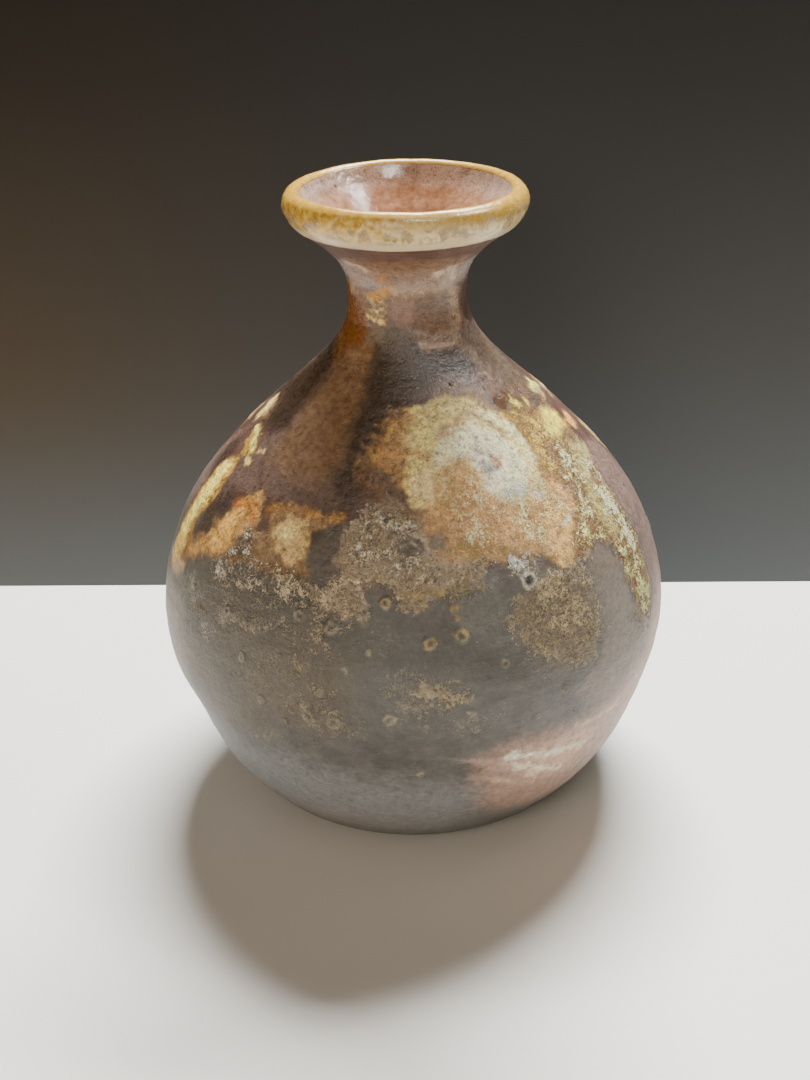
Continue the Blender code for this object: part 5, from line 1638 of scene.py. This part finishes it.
def edge_y(x):
    return EDGE_Y - SKEW * x


T, b = plain("table_white", (0.70, 0.69, 0.67), 0.55)
o = T.node("ShaderNodeOutputMaterial")
T.put(o.inputs["Surface"], b.outputs[0])
floor = sheet("floor", [(-2.5, -2.5, 0), (2.5, -2.5, 0), (2.5, edge_y(2.5), 0), (-2.5, edge_y(-2.5), 0)])
floor.data.materials.append(T.mat)
far = sheet("floor_far", [(-2.5, edge_y(-2.5), 0), (2.5, edge_y(2.5), 0), (2.5, 2.5, 0), (-2.5, 2.5, 0)])
far.data.materials.append(T.mat)
# a dark card behind the bottle; it is clear from behind, so the far side can be seen too
T, b = plain("card_grey", (0.022, 0.022, 0.023), 0.8)
co = T.node("ShaderNodeTexCoord").outputs["Object"]
sep = T.node("ShaderNodeSeparateXYZ")
T.put(sep.inputs[0], co)
cloud = T.noise(co, 6.0, 3, 0.6)
rise = T.math("MULTIPLY_ADD", cloud, 0.02, sep.outputs[2])
# painted shade: the card is paler low down near the table and darker towards its top
shade = T.ramp(T.math("MULTIPLY", rise, 4.0), [(0.04, (0.087, 0.096, 0.102)), (0.30, (0.056, 0.057, 0.057)),
                                               (0.55, (0.028, 0.028, 0.028)), (0.80, (0.008, 0.008, 0.008))])
# painted light: an orange glow painted on the card's left side, and painted shade darkening its top left
side = T.step(sep.outputs[0], 0.02, -0.11)
painted_left_glow = T.math("MULTIPLY", side, T.math("MULTIPLY_ADD", T.step(sep.outputs[2], 0.01, 0.06), 0.75, 0.25))
shade = T.mix(painted_left_glow, shade, T.mix(1.0, shade, (1.0, 0.76, 0.52), "MULTIPLY"))
painted_top_left_shade = T.math("MULTIPLY", T.math("MULTIPLY", side, T.step(sep.outputs[2], 0.09, 0.19)), 0.45)
shade = T.mix(painted_top_left_shade, shade, (0.004, 0.003, 0.002))
T.put(b.inputs["Base Color"], shade)
b.inputs["Specular IOR Level"].default_value = 0.15
geo = T.node("ShaderNodeNewGeometry")
clear = T.node("ShaderNodeBsdfTransparent")
ms = T.node("ShaderNodeMixShader")
T.put(ms.inputs[0], geo.outputs["Backfacing"])
T.put(ms.inputs[1], b.outputs[0])
T.put(ms.inputs[2], clear.outputs[0])
o = T.node("ShaderNodeOutputMaterial")
T.put(o.inputs["Surface"], ms.outputs[0])
card = sheet("backdrop", [(-1.2, edge_y(-1.2), 0), (1.2, edge_y(1.2), 0), (1.2, edge_y(1.2), 0.9), (-1.2, edge_y(-1.2), 0.9)])
card.data.materials.append(T.mat)
card.visible_shadow = False


def soft_light(name, where, target, size, power, colour=(1, 1, 1), size_y=None):
    li = bpy.data.lights.new(name, "AREA")
    li.shape = "RECTANGLE" if size_y else "DISK"
    li.size = size
    if size_y:
        li.size_y = size_y
    li.energy = power
    li.color = colour
    ob = bpy.data.objects.new(name, li)
    bpy.context.scene.collection.objects.link(ob)
    ob.location = where
    ob.rotation_euler = (Vector(target) - Vector(where)).to_track_quat("-Z", "Y").to_euler()
    return ob


soft_light("key", (0.13, 0.60, 0.95), (0, 0, 0.02), 0.62, 56.0, (1.0, 0.995, 0.96), 0.16)
soft_light("front", (-0.42, -1.14, 0.64), (0, 0, 0.06), 0.8, 7.4, (1.0, 0.88, 0.71))
# two small bright panes that only show as reflections in the glass
for name, where, size, power in (("window", (0.61, 0.08, 0.89), 0.18, 8.5), ("lamp", (0.22, -0.60, 0.86), 0.05, 3.0)):
    soft_light(name, where, (0, 0, 0.10), size, power, (1.0, 0.98, 0.94)).visible_diffuse = False

world = bpy.data.worlds.new("room")
bpy.context.scene.world = world
world.use_nodes = True
bg = world.node_tree.nodes["Background"]
bg.inputs[0].default_value = (0.78, 0.55, 0.34, 1)
bg.inputs[1].default_value = 0.225

cam_data = bpy.data.cameras.new("camera")
cam_data.sensor_width = 36.0
cam_data.lens = 53.33
cam = bpy.data.objects.new("camera", cam_data)
bpy.context.scene.collection.objects.link(cam)
cam.matrix_world = (Matrix.Translation((0.0, -0.291, 0.190))
                    @ Matrix.Rotation(math.radians(0.28), 4, "Z")
                    @ Matrix.Rotation(math.radians(90 - 25.8), 4, "X")
                    @ Matrix.Rotation(math.radians(-1.25), 4, "Z"))
bpy.context.scene.camera = cam
